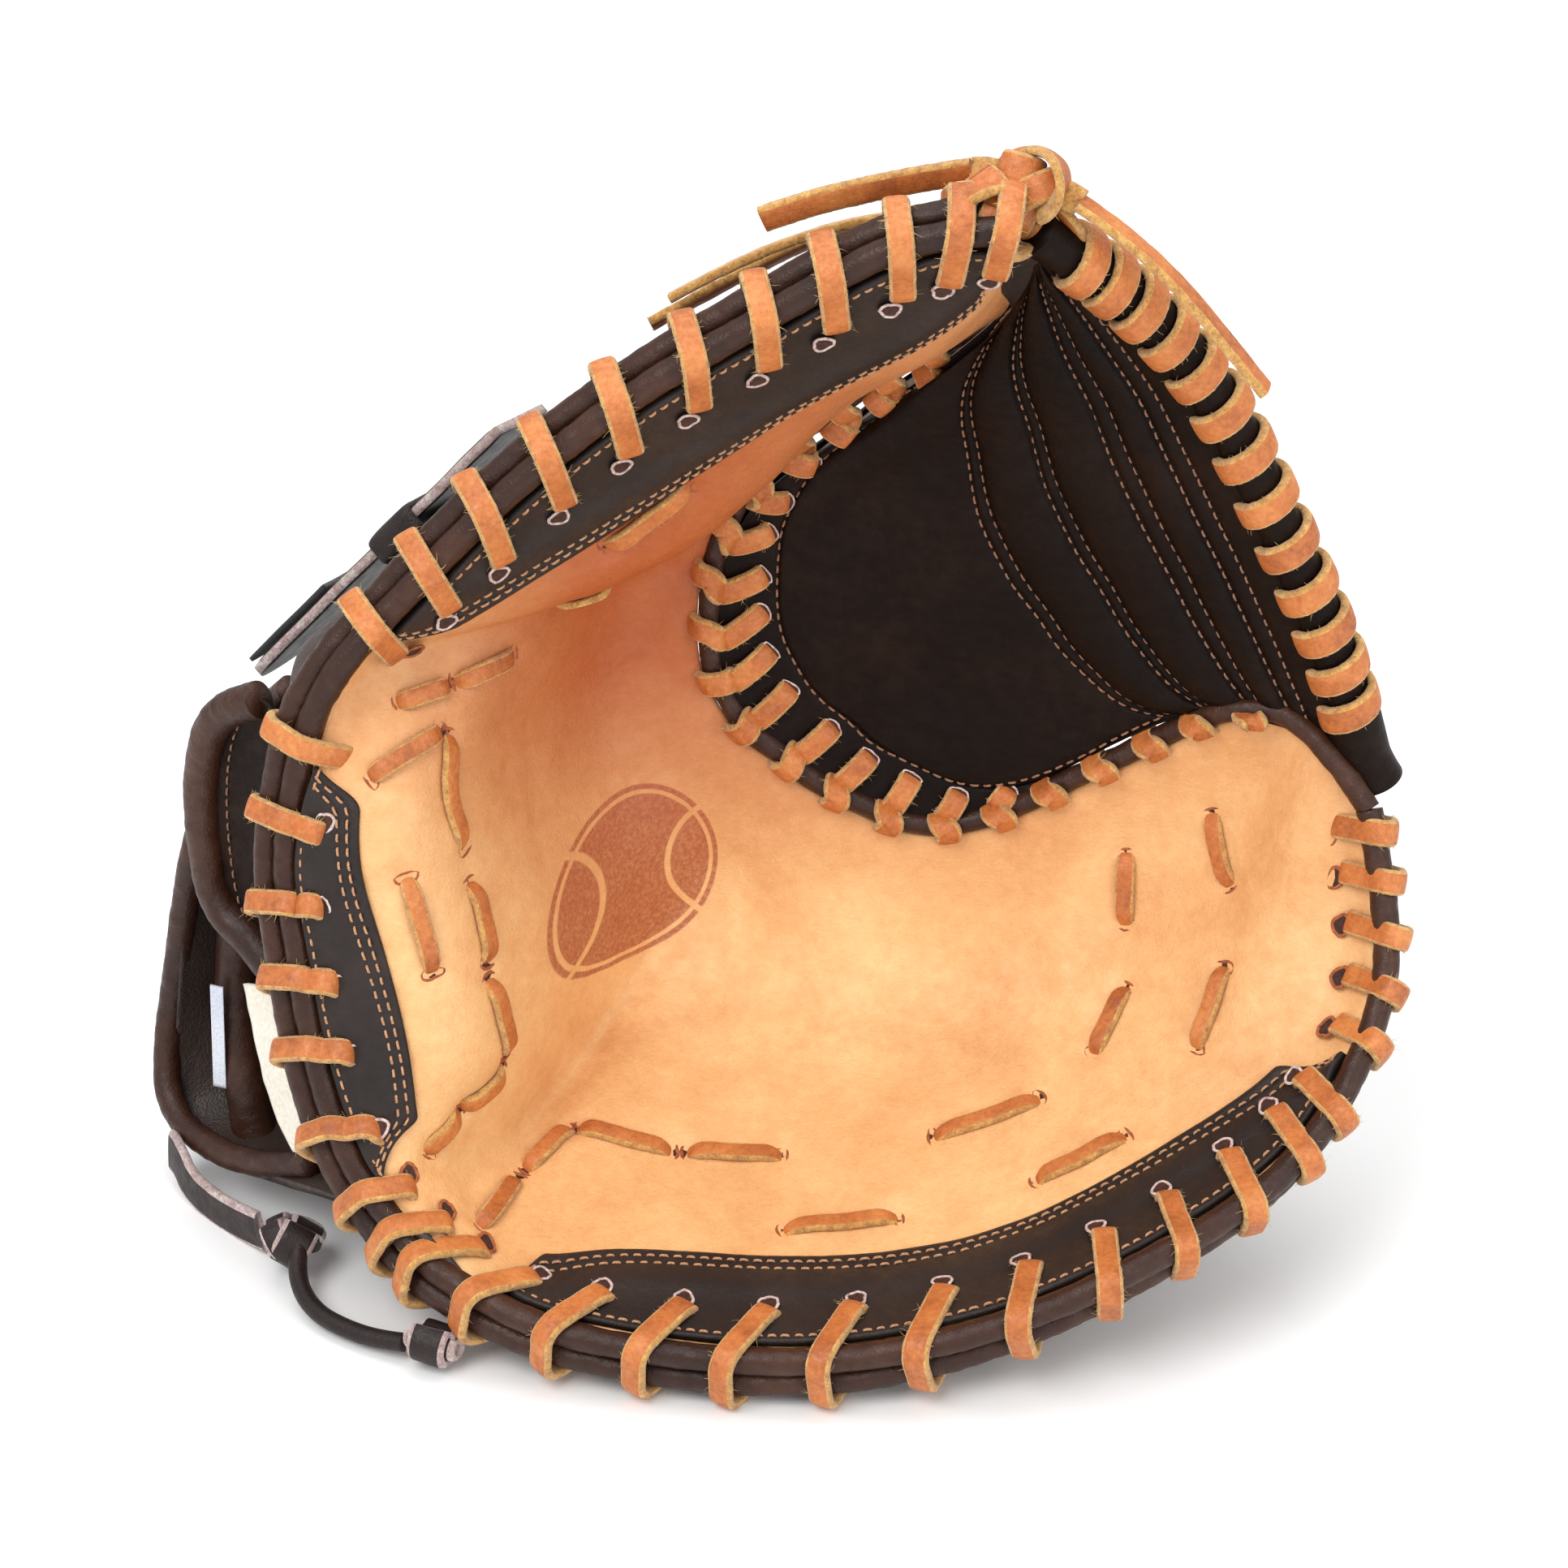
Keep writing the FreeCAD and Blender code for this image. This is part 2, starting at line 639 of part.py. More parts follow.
web_t, web_deep = size("web_leather"), size("web_thickness")
WEB_LAYERS = (
    ("web_front_panel", 0.0, web_t, 0.0, 0.93),
    ("web_padding", web_t + 0.4, web_deep - web_t - 0.4, 0.06, 0.88),
    ("web_back_panel", web_deep - web_t, web_deep, 0.0, 0.93),
)
for name, near_depth, far_depth, v_low, v_high in WEB_LAYERS:
    inset = 0.03 if "padding" in name else 0.0
    for side, low, high in (("_thumb_side", inset, THUMB_EDGE), ("_finger_side", FINGER_EDGE, 1 - inset)):
        add_sheet(
            name + side,
            lambda s, v, depth=near_depth: web_behind(s, v, depth),
            lambda s, v, depth=far_depth: web_behind(s, v, depth),
            low,
            high,
            spread(v_low, v_high, 11),
            13,
            (0.1, 0.95),
        )

roll = size("web_roll_radius")


def web_top(share):
    """The middle of the web's rolled top edge."""
    return web_behind(share, 1.0, web_deep / 2)


add_halves("web_top_roll", tube([web_top(share) for share in spread(0.02, 1.0, 15)], roll))

# ---------------------------------------------------------------- laces
lace_w, lace_t, clear = size("lace_width"), size("lace_thickness"), size("lace_clearance")


def lace_slant(a):
    """How far a rim lace drifts back along the rim for each mm that it runs outward."""
    for (a0, s0), (a1, s1) in zip(LACE_SLANT, LACE_SLANT[1:]):
        if a <= a1:
            return s0 + (s1 - s0) * (a - a0) / (a1 - a0)


def lace_leg(a):
    """How far in from the rim the hole of the lace at station a lies."""
    for (a0, leg0), (a1, leg1) in zip(LACE_LEG, LACE_LEG[1:]):
        if a <= a1:
            return leg0 + (leg1 - leg0) * (a - a0) / (a1 - a0)


def rim_loop(a):
    """One lace turn that wraps both bindings of the rim at station a, slanting as a spiral does."""
    leg = lace_leg(a)
    along = unit(palm_rim(min(LAST, a + 0.05)) - palm_rim(max(0, a - 0.05)))
    lift = clear + lace_t / 2
    step = (front(a, 0) - front(a, 0.1)).Length / 0.1
    line = [raised(a, leg * share / step, lift + patch_gap + patch_t) for share in (1.0, 0.7, 0.4)]
    one, two, out = palm_rim(a), back_rim(a), rim_out(a)
    deep = unit(two - one - along * (two - one).dot(along))
    out = out - along * out.dot(along)
    out = unit(out - deep * out.dot(deep))
    around = bind + clear + lace_t / 2
    line.append(one - deep * around)
    line.append(one - deep * around * 0.7 + out * around * 0.75)
    line.append(one + out * around)
    line.append(two + out * around)
    line.append(two + deep * around * 0.7 + out * around * 0.75)
    line.append(two + deep * around)
    line.append(two + deep * (around + 0.6) - out * (leg * 0.45))
    line = in_plane(line, one, along)
    slant = lace_slant(a)
    hole = line[0]
    line = [p - along * (slant * (p - hole).dot(out)) for p in line]
    return band(line, unit(along + out * slant), lace_w, lace_t)


def add_laces(name, loops):
    add_shape(name, Part.makeCompound(loops))


THUMB_LOOPS = (0.22, 0.68, 1.16, 1.72, 2.25, 2.8, 3.32, 3.8, 4.27, 4.71, 5.36)
HEEL_LOOPS = (6.38, 6.88, 7.69, 8.37, 8.86, 9.42)
CREASE_LOOPS = (9.91, 10.31, 10.67)
FINGER_LOOPS = (11.28, 11.97, 12.5, 12.97, 13.47, 14.01, 14.56, 15.07, 15.5, 15.95, 16.42, 16.8)
TIP_LOOPS = (17.39, 17.85, 18.27, 18.62, 18.93)
LACE_SLANT = (
    (0, 0.35),
    (1, 0.45),
    (4.4, 0.55),
    (5.3, 0.3),
    (6.9, 0.15),
    (9.5, 0.2),
    (10, 0.6),
    (16.8, 0.45),
    (19, 0.3),
)
LACE_LEG = (
    (0, 8.5),
    (1, 9.6),
    (4, 9.6),
    (4.8, 7.0),
    (6.2, 7.0),
    (7, 5.6),
    (9.5, 5.6),
    (10, 6.3),
    (11, 8.0),
    (14, 13.0),
    (15.6, 12.2),
    (16.8, 8.0),
    (19, 7.5),
)
add_laces("thumb_side_lace", [rim_loop(a) for a in THUMB_LOOPS])
add_laces("heel_lace", [rim_loop(a) for a in HEEL_LOOPS])
add_laces("finger_side_lace", [rim_loop(a) for a in CREASE_LOOPS + FINGER_LOOPS + TIP_LOOPS])


def top_wrap(share):
    """One turn of the spiral lace round the web's rolled top edge."""
    along = unit(web_top(min(1, share + 0.02)) - web_top(share - 0.02))
    outer = roll + clear + lace_t
    start = web_top(share) - along * (lace_w / 2)
    solid = Part.makeCylinder(outer, lace_w, start, along)
    return solid.cut(Part.makeCylinder(outer - lace_t, lace_w, start, along))


for side, name in ((THUMB, "web_top_lace_thumb_side"), (FINGER, "web_top_lace_finger_side")):
    shares = [share for share in spread(0.11, 0.91, 13) if above_break(web_top(share)) * side > 4.5]
    add_laces(name, [top_wrap(share) for share in shares])


def base_tie(a):
    """One lace run that ties the web's edge to the palm's binding at station a."""
    along = unit(web_rim(min(LAST, a + 0.05)) - web_rim(max(0, a - 0.05)))
    lift = clear + lace_t / 2
    rim = web_rim(a)
    face = normal(front, a, 1.0) * -1
    inward = unit(web_edge(a) - front(a, 1))
    inward = unit(inward - along * inward.dot(along))
    face = unit(face - along * face.dot(along))
    line = [
        raised(a, 0.945, lift),
        raised(a, 0.975, lift + 0.5),
        rim + face * (web_bind + lift) - inward * 1.5,
        rim + face * (web_bind + lift) + inward * 1.5,
        web_edge(a) + face * (lift + 1.4) + inward * 1.0,
        web_edge(a) + face * (lift + 1.0) + inward * 7.0,
    ]
    return band(in_plane(line, rim, along), along, lace_w * 0.8, lace_t)


ties = {a: base_tie(a) for a in spread(0.6, 18.2, 26)}
for side, name in ((THUMB, "web_base_lace_thumb_side"), (FINGER, "web_base_lace_finger_side")):
    chosen = [tie for a, tie in ties.items() if above_break(front(a, 1.0)) * side > 5.0]
    add_laces(name, chosen)


def palm_stitch(a0, r0, a1, r1):
    """One visible run of a lace that is threaded through the palm and its padding."""
    ends = [raised(a0, r0, 0), raised(a1, r1, 0)]
    middle = raised((a0 + a1) / 2, (r0 + r1) / 2, clear + lace_t / 2 + 0.7)
    out = normal(front, (a0 + a1) / 2, (r0 + r1) / 2) * -1
    along = unit(ends[1] - ends[0])
    across = unit(along.cross(out))
    lift = out * (clear + lace_t / 2 + 0.2)
    line = [ends[0] + lift, middle, ends[1] + lift]
    return band(in_plane(line, middle, across), across, lace_w * 0.85, lace_t)


add_laces("thumb_crease_lace", [palm_stitch(*s) for s in THUMB_STITCHES])
add_laces("heel_stitch_lace", [palm_stitch(*s) for s in HEEL_STITCHES])
add_laces("finger_stitch_lace", [palm_stitch(*s) for s in FINGER_STITCHES])

# ---------------------------------------------------------------- the wrist opening
CUFF_LINE = [
    (-122, 100, 146),
    (-138, 112, 125),
    (-153, 114, 92),
    (-162, 117, 50),
    (-164, 107, 18),
    (-142, 82, 16),
    (-119, 63, 28),
]
cuff_line = Spline(CUFF_LINE)
cuff_points = [cuff_line.at(t) for t in spread(0.1, 5.9, 22)]
add_shape("cuff_binding", tube(cuff_points, bind))

FLAP = [(-130, 88, 148), (-143, 96, 138), (-149, 100, 117), (-149, 100, 98), (-146, 97, 85), (-137, 89, 78)]
FLAP_ROOT = [
    (-124, 80, 145),
    (-127, 84, 134),
    (-128, 84, 115),
    (-128, 82, 97),
    (-127, 80, 85),
    (-125, 80, 79),
]


def flap_point(t, r):
    outer, inner = Spline(FLAP).at(t), Spline(FLAP_ROOT).at(t)
    return inner * (1 - r) + outer * r + Vector(0, 3.0 * math.sin(math.pi * r), 0)


def flap_back(t, r):
    return flap_point(t, r) + Vector(-0.6, 2.2, 0)


grids = []
for surface in (flap_point, flap_back):
    grids.append([[surface(t, r) for t in spread(0.0, 5.0, 9)] for r in (0.0, 0.3, 0.6, 0.86)])
add_shape("wrist_flap", between(*grids))
flap_edge = Spline([flap_point(t, 1.0) for t in (0, 1, 2, 3, 4, 5)])
add_shape("wrist_flap_binding", tube([flap_edge.at(t) for t in spread(0, 5, 12)], bind * 0.9))

loop_line = Spline([(-134, 114, 100), (-143, 117, 70), (-146, 114, 40), (-143, 106, 17)])
add_shape("little_finger_loop", tube([loop_line.at(t) for t in spread(0, 3, 9)], size("loop_radius")))

# ---------------------------------------------------------------- knots and lace tails
KNOT = Vector(54, 72, 286)
CUFF_KNOT = Vector(-126, 53.8, 9.3)
END_KNOT = Vector(-86.4, 14.1, 7.2)


def place(position, turn=Rotation()):
    return FreeCAD.Placement(position - ORIGIN, turn)


def knot(name, centre, ring, strand, tilt):
    """A lace knot: two rings of the lace, one through the other."""
    rings = []
    for number, turn in enumerate((Rotation(Vector(0, 0, 1), 35), Rotation(Vector(1, 0, 0), 90 + tilt))):
        torus = doc.addObject("Part::Torus", f"{name}_ring_{number + 1}")
        torus.setExpression("Radius1", f"Sizes.{ring}")
        torus.setExpression("Radius2", f"Sizes.{strand}")
        torus.Placement = FreeCAD.Placement(Vector(), turn * Rotation(Vector(1, 0, 0), 25))
        rings.append(torus)
    fused = doc.addObject("Part::Fuse", name)
    fused.Label = name
    fused.Base, fused.Tool = rings
    fused.Placement = place(centre)
    OUTPUT.append(fused)


knot("tip_knot", KNOT, "knot_ring", "knot_strand", 10)
knot("cuff_knot", CUFF_KNOT, "cuff_knot_ring", "cuff_knot_strand", 0)
knot("end_knot", END_KNOT, "small_knot_ring", "small_knot_strand", 15)

TAILS = (
    ("lace_tail_right", [(66, 66, 284), (77, 64, 277), (90, 62, 265), (101, 61, 252), (110, 60, 241)]),
    ("lace_tail_upper", [(43, 78, 287), (32, 82, 284), (18, 85, 280), (5, 87, 276), (-5, 88, 272)]),
    ("lace_tail_lower", [(30, 104, 268), (16, 104, 266), (0, 103, 261), (-14, 102, 255), (-27, 101, 248)]),
    ("lace_tail_back", [(22, 114, 262), (9, 114, 259), (-6, 112, 252), (-20, 110, 245), (-32, 107, 239)]),
)


def ribbon(name, route):
    """A flat lace whose route lies in one plane: runs joined by arcs, with a rectangular section."""
    points = [Vector(*p) for p in route]
    across = unit((points[1] - points[0]).cross(points[-1] - points[1]))
    points = in_plane(points, points[0], across)
    wire, radii = rounded_path(points)
    start = unit(points[1] - points[0])
    side = unit(start.cross(across))
    w, t = across * (lace_w / 2), side * (lace_t / 2)
    corners = [points[0] + w + t, points[0] + w - t, points[0] - w - t, points[0] - w + t]
    solid = wire.makePipeShell([Part.makePolygon(corners + corners[:1])], True, False, 1)
    share = round(solid.Volume / (wire.Length * lace_w * lace_t), 3)
    bends = [round(r) for r in radii]
    print(name, "length", round(wire.Length, 1), "radii", bends, "volume", share)
    add_shape(name, solid)


for name, route in TAILS:
    ribbon(name, route)

CORD = [
    (-123.6, 50, 11),
    (-124, 45, 8),
    (-122, 38, 5),
    (-117, 30.5, 3.9),
    (-110, 25, 3.7),
    (-101.5, 20, 4),
    (-94, 17, 5.2),
]


def cord(name, route, radius):
    """A round lace along its route."""
    points = [Vector(*p) for p in route]
    wire, radii = rounded_path(points)
    ring = Part.Wire(Part.makeCircle(radius, points[0], points[1] - points[0]))
    solid = wire.makePipeShell([ring], True, False, 1)
    share = round(solid.Volume / (wire.Length * math.pi * radius**2), 3)
    bends = [round(r) for r in radii]
    print(name, "length", round(wire.Length, 1), "radii", bends, "volume", share)
    add_shape(name, solid)


cord("wrist_cord", CORD, size("wrist_cord_radius"))
cuff_loop = [(-161, 93, 10), (-157, 85, 6.2), (-150, 77, 5), (-142, 69, 5.4), (-135, 62, 7)]
cord("cuff_lace", cuff_loop, size("cuff_lace_radius"))


# ---------------------------------------------------------------- the wrist strap and its keeper
def body_box(name, length, width, height, centre, turn):
    """A rectangular leather piece with rounded ends, padded from a sketch."""
    body = doc.addObject("PartDesign::Body", name)
    body.Label = name
    sketch = body.newObject("Sketcher::SketchObject", name + "_sketch")
    plane = [f for f in body.Origin.OriginFeatures if f.Role == "XY_Plane"][0]
    sketch.AttachmentSupport = [(plane, "")]
    sketch.MapMode = "FlatFace"
    x, y = size(length) / 2, size(width) / 2
    corners = [Vector(-x, -y, 0), Vector(x, -y, 0), Vector(x, y, 0), Vector(-x, y, 0)]
    for start, end in zip(corners, corners[1:] + corners[:1]):
        sketch.addGeometry(Part.LineSegment(start, end), False)
    for i in range(4):
        sketch.addConstraint(Sketcher.Constraint("Coincident", i, 2, (i + 1) % 4, 1))
    for i, kind in enumerate(("Horizontal", "Vertical", "Horizontal", "Vertical")):
        sketch.addConstraint(Sketcher.Constraint(kind, i))
    sketch.addConstraint(Sketcher.Constraint("Symmetric", 0, 1, 2, 1, -1, 1))
    sketch.addConstraint(Sketcher.Constraint("DistanceX", 0, 1, 0, 2, 2 * x))
    sketch.setExpression("Constraints[9]", f"Sizes.{length}")
    sketch.addConstraint(Sketcher.Constraint("DistanceY", 1, 1, 1, 2, 2 * y))
    sketch.setExpression("Constraints[10]", f"Sizes.{width}")
    pad = body.newObject("PartDesign::Pad", name + "_pad")
    pad.Profile = sketch
    pad.setExpression("Length", f"Sizes.{height}")
    pad.Midplane = True
    body.Placement = place(centre, turn)
    OUTPUT.append(body)
    return body


STRAP_TOP, STRAP_END = Vector(-64, 128, 213), Vector(-135, 136, 137)
along = unit(STRAP_END - STRAP_TOP)
strap_width_way = Vector(0, 0.88, -0.47)
across = unit(strap_width_way - along * strap_width_way.dot(along))
strap_turn = Rotation(along, across, along.cross(across), "XYZ")
strap_middle = (STRAP_TOP + STRAP_END) * 0.5
body_box("wrist_strap", "strap_length", "strap_width", "strap_thickness", strap_middle, strap_turn)
keeper_middle = STRAP_TOP + along * 40

keeper = []
for number, grow in enumerate(("keeper_leather", None)):
    box = doc.addObject("Part::Box", f"strap_keeper_{'outer' if grow else 'inner'}")
    extra = " + 2 * Sizes.keeper_leather" if grow else ""
    box.setExpression("Length", "Sizes.keeper_length" + ("" if grow else " + 2"))
    box.setExpression("Width", "Sizes.strap_width + 2 * Sizes.keeper_clearance" + extra)
    box.setExpression("Height", "Sizes.strap_thickness + 2 * Sizes.keeper_clearance" + extra)
    slack = size("keeper_clearance") + (size("keeper_leather") if grow else 0)
    length, width, height = (size(alias) / 2 for alias in ("keeper_length", "strap_width", "strap_thickness"))
    half = Vector(length + (0 if grow else 1), width + slack, height + slack)
    box.Placement = FreeCAD.Placement(strap_turn.multVec(-half), strap_turn)
    keeper.append(box)
ring = doc.addObject("Part::Cut", "strap_keeper")
ring.Label = "strap_keeper"
ring.Base, ring.Tool = keeper
ring.Placement = place(keeper_middle)
OUTPUT.append(ring)

hook_depth = size("strap_thickness") / 2 + size("hook_tape") / 2 + 0.05
hook_middle = STRAP_END - along * 20 - along.cross(across) * hook_depth
body_box("hook_tape", "hook_length", "hook_width", "hook_tape", hook_middle, strap_turn)
label_turn = Rotation(Vector(0.1, -0.35, 0.93), Vector(-0.75, -0.6, 0), Vector(), "XZY")
body_box("size_label", "label_length", "label_width", "label_thickness", Vector(-141, 124, 62), label_turn)

# ---------------------------------------------------------------- checks and export
doc.recompute()
for item in doc.Objects:
    if "Invalid" in item.State or "Error" in item.State:
        raise RuntimeError(f"{item.Name} failed: {item.State}")
os.makedirs("parts", exist_ok=True)
for item in OUTPUT:
    if item.Shape.isNull() or not item.Shape.isValid():
        raise RuntimeError(f"{item.Label} has no valid shape")
    item.Shape.exportStep(f"parts/{item.Label}.step")
print(len(OUTPUT), "sub-parts")
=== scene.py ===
import math

import bpy
import numpy as np
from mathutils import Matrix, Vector, noise


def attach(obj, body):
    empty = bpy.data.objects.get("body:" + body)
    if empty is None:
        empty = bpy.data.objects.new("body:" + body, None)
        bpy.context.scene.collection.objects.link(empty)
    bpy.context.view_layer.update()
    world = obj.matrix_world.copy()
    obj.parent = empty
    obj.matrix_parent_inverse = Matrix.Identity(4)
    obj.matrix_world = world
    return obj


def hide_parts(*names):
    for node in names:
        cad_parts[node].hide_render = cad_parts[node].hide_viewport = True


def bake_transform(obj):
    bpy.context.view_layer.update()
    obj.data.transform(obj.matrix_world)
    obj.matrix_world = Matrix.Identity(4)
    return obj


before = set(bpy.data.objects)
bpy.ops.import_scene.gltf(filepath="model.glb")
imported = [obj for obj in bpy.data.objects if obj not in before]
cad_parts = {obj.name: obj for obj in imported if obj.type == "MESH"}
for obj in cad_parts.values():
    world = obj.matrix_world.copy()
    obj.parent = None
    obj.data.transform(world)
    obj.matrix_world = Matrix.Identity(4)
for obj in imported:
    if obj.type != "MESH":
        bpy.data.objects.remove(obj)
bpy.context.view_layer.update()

rng = np.random.default_rng(11)

# Lengths below are in millimetres in the drawing's own place; mm() turns them into the frame's metres.
ORIGIN = np.array([-5.5, 71.4, 0.0])


def mm(points):
    return (np.asarray(points, float) - ORIGIN) / 1000.0


# ---------------------------------------------------------------- camera
TARGET, DISTANCE, ELEVATION = Vector(mm((0, 66, 136))), 0.900, math.radians(28)
camera = bpy.data.objects.new("camera", bpy.data.cameras.new("camera"))
camera.data.lens, camera.data.sensor_width = 85, 36
camera.data.clip_start, camera.data.clip_end = 0.01, 50
camera.location = TARGET + DISTANCE * Vector((0, -math.cos(ELEVATION), math.sin(ELEVATION)))
camera.rotation_euler = (TARGET - camera.location).to_track_quat("-Z", "Y").to_euler()
bpy.context.collection.objects.link(camera)
bpy.context.scene.camera = camera
bpy.context.scene.view_settings.view_transform = "Standard"

# ---------------------------------------------------------------- the mitt's guide net
# Each station: rim, inner edge of the patch, crest of the padding, edge at the web, and three thicknesses.
STATIONS = [
    ((51, 60, 276), (51, 70, 266), (51, 82, 258), (56, 92, 250), (14, 15, 10)),
    ((26, 64, 270), (33, 82, 245), (36, 94, 236), (40, 108, 233), (24, 27, 14)),
    ((-2, 68, 253), (7, 88, 228), (14, 98, 221), (23, 116, 220), (31, 34, 18)),
    ((-32, 71, 233), (-21, 90, 208), (-9, 102, 196), (7, 122, 205), (35, 37, 20)),
    ((-65, 73, 205), (-52, 86, 188), (-34, 98, 178), (-8, 125, 191), (36, 37, 20)),
    ((-93, 72, 176), (-84, 80, 170), (-58, 98, 168), (-17, 127, 176), (32, 34, 20)),
    ((-108, 70, None), (-97, 77, None), (-68, 95, None), (-21, 128, None), (28, 30, 18)),
    ((-118, 63, 123), (-103, 60, 127), (-82, 72, 131), (-22, 128, 142), (23, 24, 14)),
    ((-117, 57, 99), (-99, 54, 101), (-74, 66, 94), (-18, 127, 128), (23, 24, 14)),
    ((-111, 46, 65), (-92, 46, 67), (-70, 62, 61), (-11, 126, 117), (21, 24, 16)),
    ((-96, 32, 36), (-88, 42, 40), (-68, 72, 34), (-2, 125, 110), (18, 24, 20)),
    ((-72, 18, 21), (-66, 34, 21), (-55, 72, 31), (5, 124, 104), (18, 32, 24)),
    ((-46, 8, 17), (-42, 34, 20), (-29, 72, 28), (17, 122, 98), (20, 30, 26)),
    ((-3, 2, 15), (-2, 34, 18), (7, 74, 26), (34, 120, 92), (19, 28, 26)),
    ((41, 4, 20), (37, 36, 20), (41, 76, 30), (53, 118, 95), (21, 32, 26)),
    ((80, 12, 32), (70, 42, 29), (70, 78, 40), (70, 115, 105), (25, 36, 25)),
    ((118, 32, 46), (105, 54, 45), (95, 82, 56), (87, 112, 116), (24, 30, 22)),
    ((138, 50, 64), (127, 62, 61), (113, 84, 74), (101, 108, 126), (22, 27, 18)),
    ((147, 68, 85), (138, 76, 82), (124, 88, 93), (112, 102, 134), (19, 22, 14)),
    ((143, 84, 117), (137, 88, 113), (129, 92, 118), (124, 98, 136), (13, 14, 9)),
]
CUFF = [
    ((-117, 82, 150), (-100, 102, 152), (-80, 118, 154), (-52, 129, 157), (-25, 135, 160)),
    ((-150, 110, 112), (-125, 130, 118), (-95, 142, 126), (-60, 144, 136), (-28, 137, 146)),
    ((-162, 115, 50), (-130, 138, 65), (-97, 150, 85), (-60, 150, 108), (-25, 138, 130)),
    ((-156, 100, 8), (-125, 110, 12), (-92, 125, 25), (-55, 139, 65), (-18, 136, 118)),
]
ROW_PLACE = np.array([0.0, 0.3, 0.55, 0.78, 1.0])
WEB_TOP = [(57, 66, 273), (76, 73, 258), (98, 80, 233), (117, 84, 198), (133, 88, 162), (143, 91, 130)]
WEB_BACKWARD = [(0, 0.73, 0.68), (0.3, 0.92, 0.25), (0.2, 0.97, 0.1), (0.2, 0.96, 0.1), (0.4, 0.9, 0)]
WEB_MIDDLE = np.array([66, 126, 166.0])
WEB_CORNER, WEB_SETBACK, WEB_BULGE, WEB_DEEP, WEB_ROLL = 15.0, 6.8, 13.0, 8.0, 5.6
LAST = len(STATIONS) - 1
AXIS_HEEL, AXIS_WEB, BREAK_SLOPE = np.array([-125, 58, 156.0]), np.array([132, 73, 190.0]), -0.08
POCKET_AXIS, POCKET_CENTRE = np.array([0, 0.883, -0.469]), np.array([25, 100, 130.0])
EDGE, PALM, BACK, PATCH = 7.0, 2.6, 2.4, 1.5
BIND, WEB_BIND = 3.4, 2.9
LACE_W, LACE_T = 6.4, 2.2


def break_height(x, y):
    along = (x - AXIS_HEEL[0]) / (AXIS_WEB[0] - AXIS_HEEL[0])
    front_y = AXIS_HEEL[1] + along * (AXIS_WEB[1] - AXIS_HEEL[1])
    return AXIS_HEEL[2] + along * (AXIS_WEB[2] - AXIS_HEEL[2]) + BREAK_SLOPE * (y - front_y)


def unit(v):
    return v / np.maximum(np.linalg.norm(v, axis=-1, keepdims=True), 1e-9)


def both(a, r):
    """Two places as arrays of one shape."""
    return np.broadcast_arrays(np.asarray(a, float), np.asarray(r, float))


def bell(far, size):
    return np.exp(-((far / size) ** 2))


def hoop(one, two, turn):
    """Points on the ellipse whose half axes are one and two."""
    return np.cos(turn) * one + np.sin(turn) * two


def run_along(path):
    """How far along the path each of its points lies."""
    return np.concatenate([[0], np.cumsum(np.linalg.norm(np.diff(path, axis=0), axis=1))])


def length_of(path):
    return float(np.linalg.norm(np.diff(path, axis=0), axis=1).sum())


def second_matrix(knots):
    """The matrix that turns values at the knots into a natural cubic spline's second derivatives."""
    n = len(knots)
    left, right = np.zeros((n, n)), np.zeros((n, n))
    left[0, 0] = left[-1, -1] = 1
    for i in range(1, n - 1):
        a, b = knots[i] - knots[i - 1], knots[i + 1] - knots[i]
        left[i, i - 1 : i + 2] = a / 6, (a + b) / 3, b / 6
        right[i, i - 1 : i + 2] = 1 / a, -1 / a - 1 / b, 1 / b
    return np.linalg.solve(left, right)


def spline(knots, values, t):
    """A natural cubic spline. values is (n, ...) for all t, or (n, *t.shape, 3) with one set for each t."""
    knots, values, t = np.asarray(knots, float), np.asarray(values, float), np.asarray(t, float)
    second = np.tensordot(second_matrix(knots), values, 1)
    i = np.clip(np.searchsorted(knots, t) - 1, 0, len(knots) - 2)
    step = knots[i + 1] - knots[i]
    b = (t - knots[i]) / step
    a = 1 - b

    def pick(table, k):
        if t.ndim and table.ndim == t.ndim + 2:
            return np.take_along_axis(table, k[None, ..., None], 0)[0]
        return table[k]

    a, b, step = a[..., None], b[..., None], step[..., None]
    bend = (pick(second, i) * (a**3 - a) + pick(second, i + 1) * (b**3 - b)) * step**2 / 6
    return pick(values, i) * a + pick(values, i + 1) * b + bend


def station_rows():
    rows = []
    for *marks, _ in STATIONS:
        points = [np.array((x, y, break_height(x, y) if z is None else z), float) for x, y, z in marks]
        crest, edge = points[2], points[3]
        middle = (crest + edge) / 2 + POCKET_AXIS * 0.22 * np.linalg.norm(edge - crest)
        rows.append(points[:3] + [middle, edge])
    return np.array(rows).transpose(1, 0, 2)


ROWS = station_rows()
WHOLE = np.arange(LAST + 1.0)
DEPTHS = [[station[4][k] for station in STATIONS] for k in range(3)]
DEEP = np.array([[EDGE] * len(STATIONS)] + DEPTHS + [[EDGE - 1] * len(STATIONS)])[..., None]


def front(a, r):
    a, r = both(a, r)
    return spline(ROW_PLACE, np.stack([spline(WHOLE, row, a) for row in ROWS]), r)


def thickness(a, r):
    a, r = both(a, r)
    return spline(ROW_PLACE, np.stack([spline(WHOLE, row, a) for row in DEEP]), r)


def normal(surface, a, r, step=0.02):
    """Square to the surface, towards its back."""
    r0, r1 = np.clip(r - step, 0, 1), np.clip(r + step, 0, 1)
    a0, a1 = np.clip(a - step, 0, LAST), np.clip(a + step, 0, LAST)
    return unit(np.cross(surface(a, r1) - surface(a, r0), surface(a1, r) - surface(a0, r)))


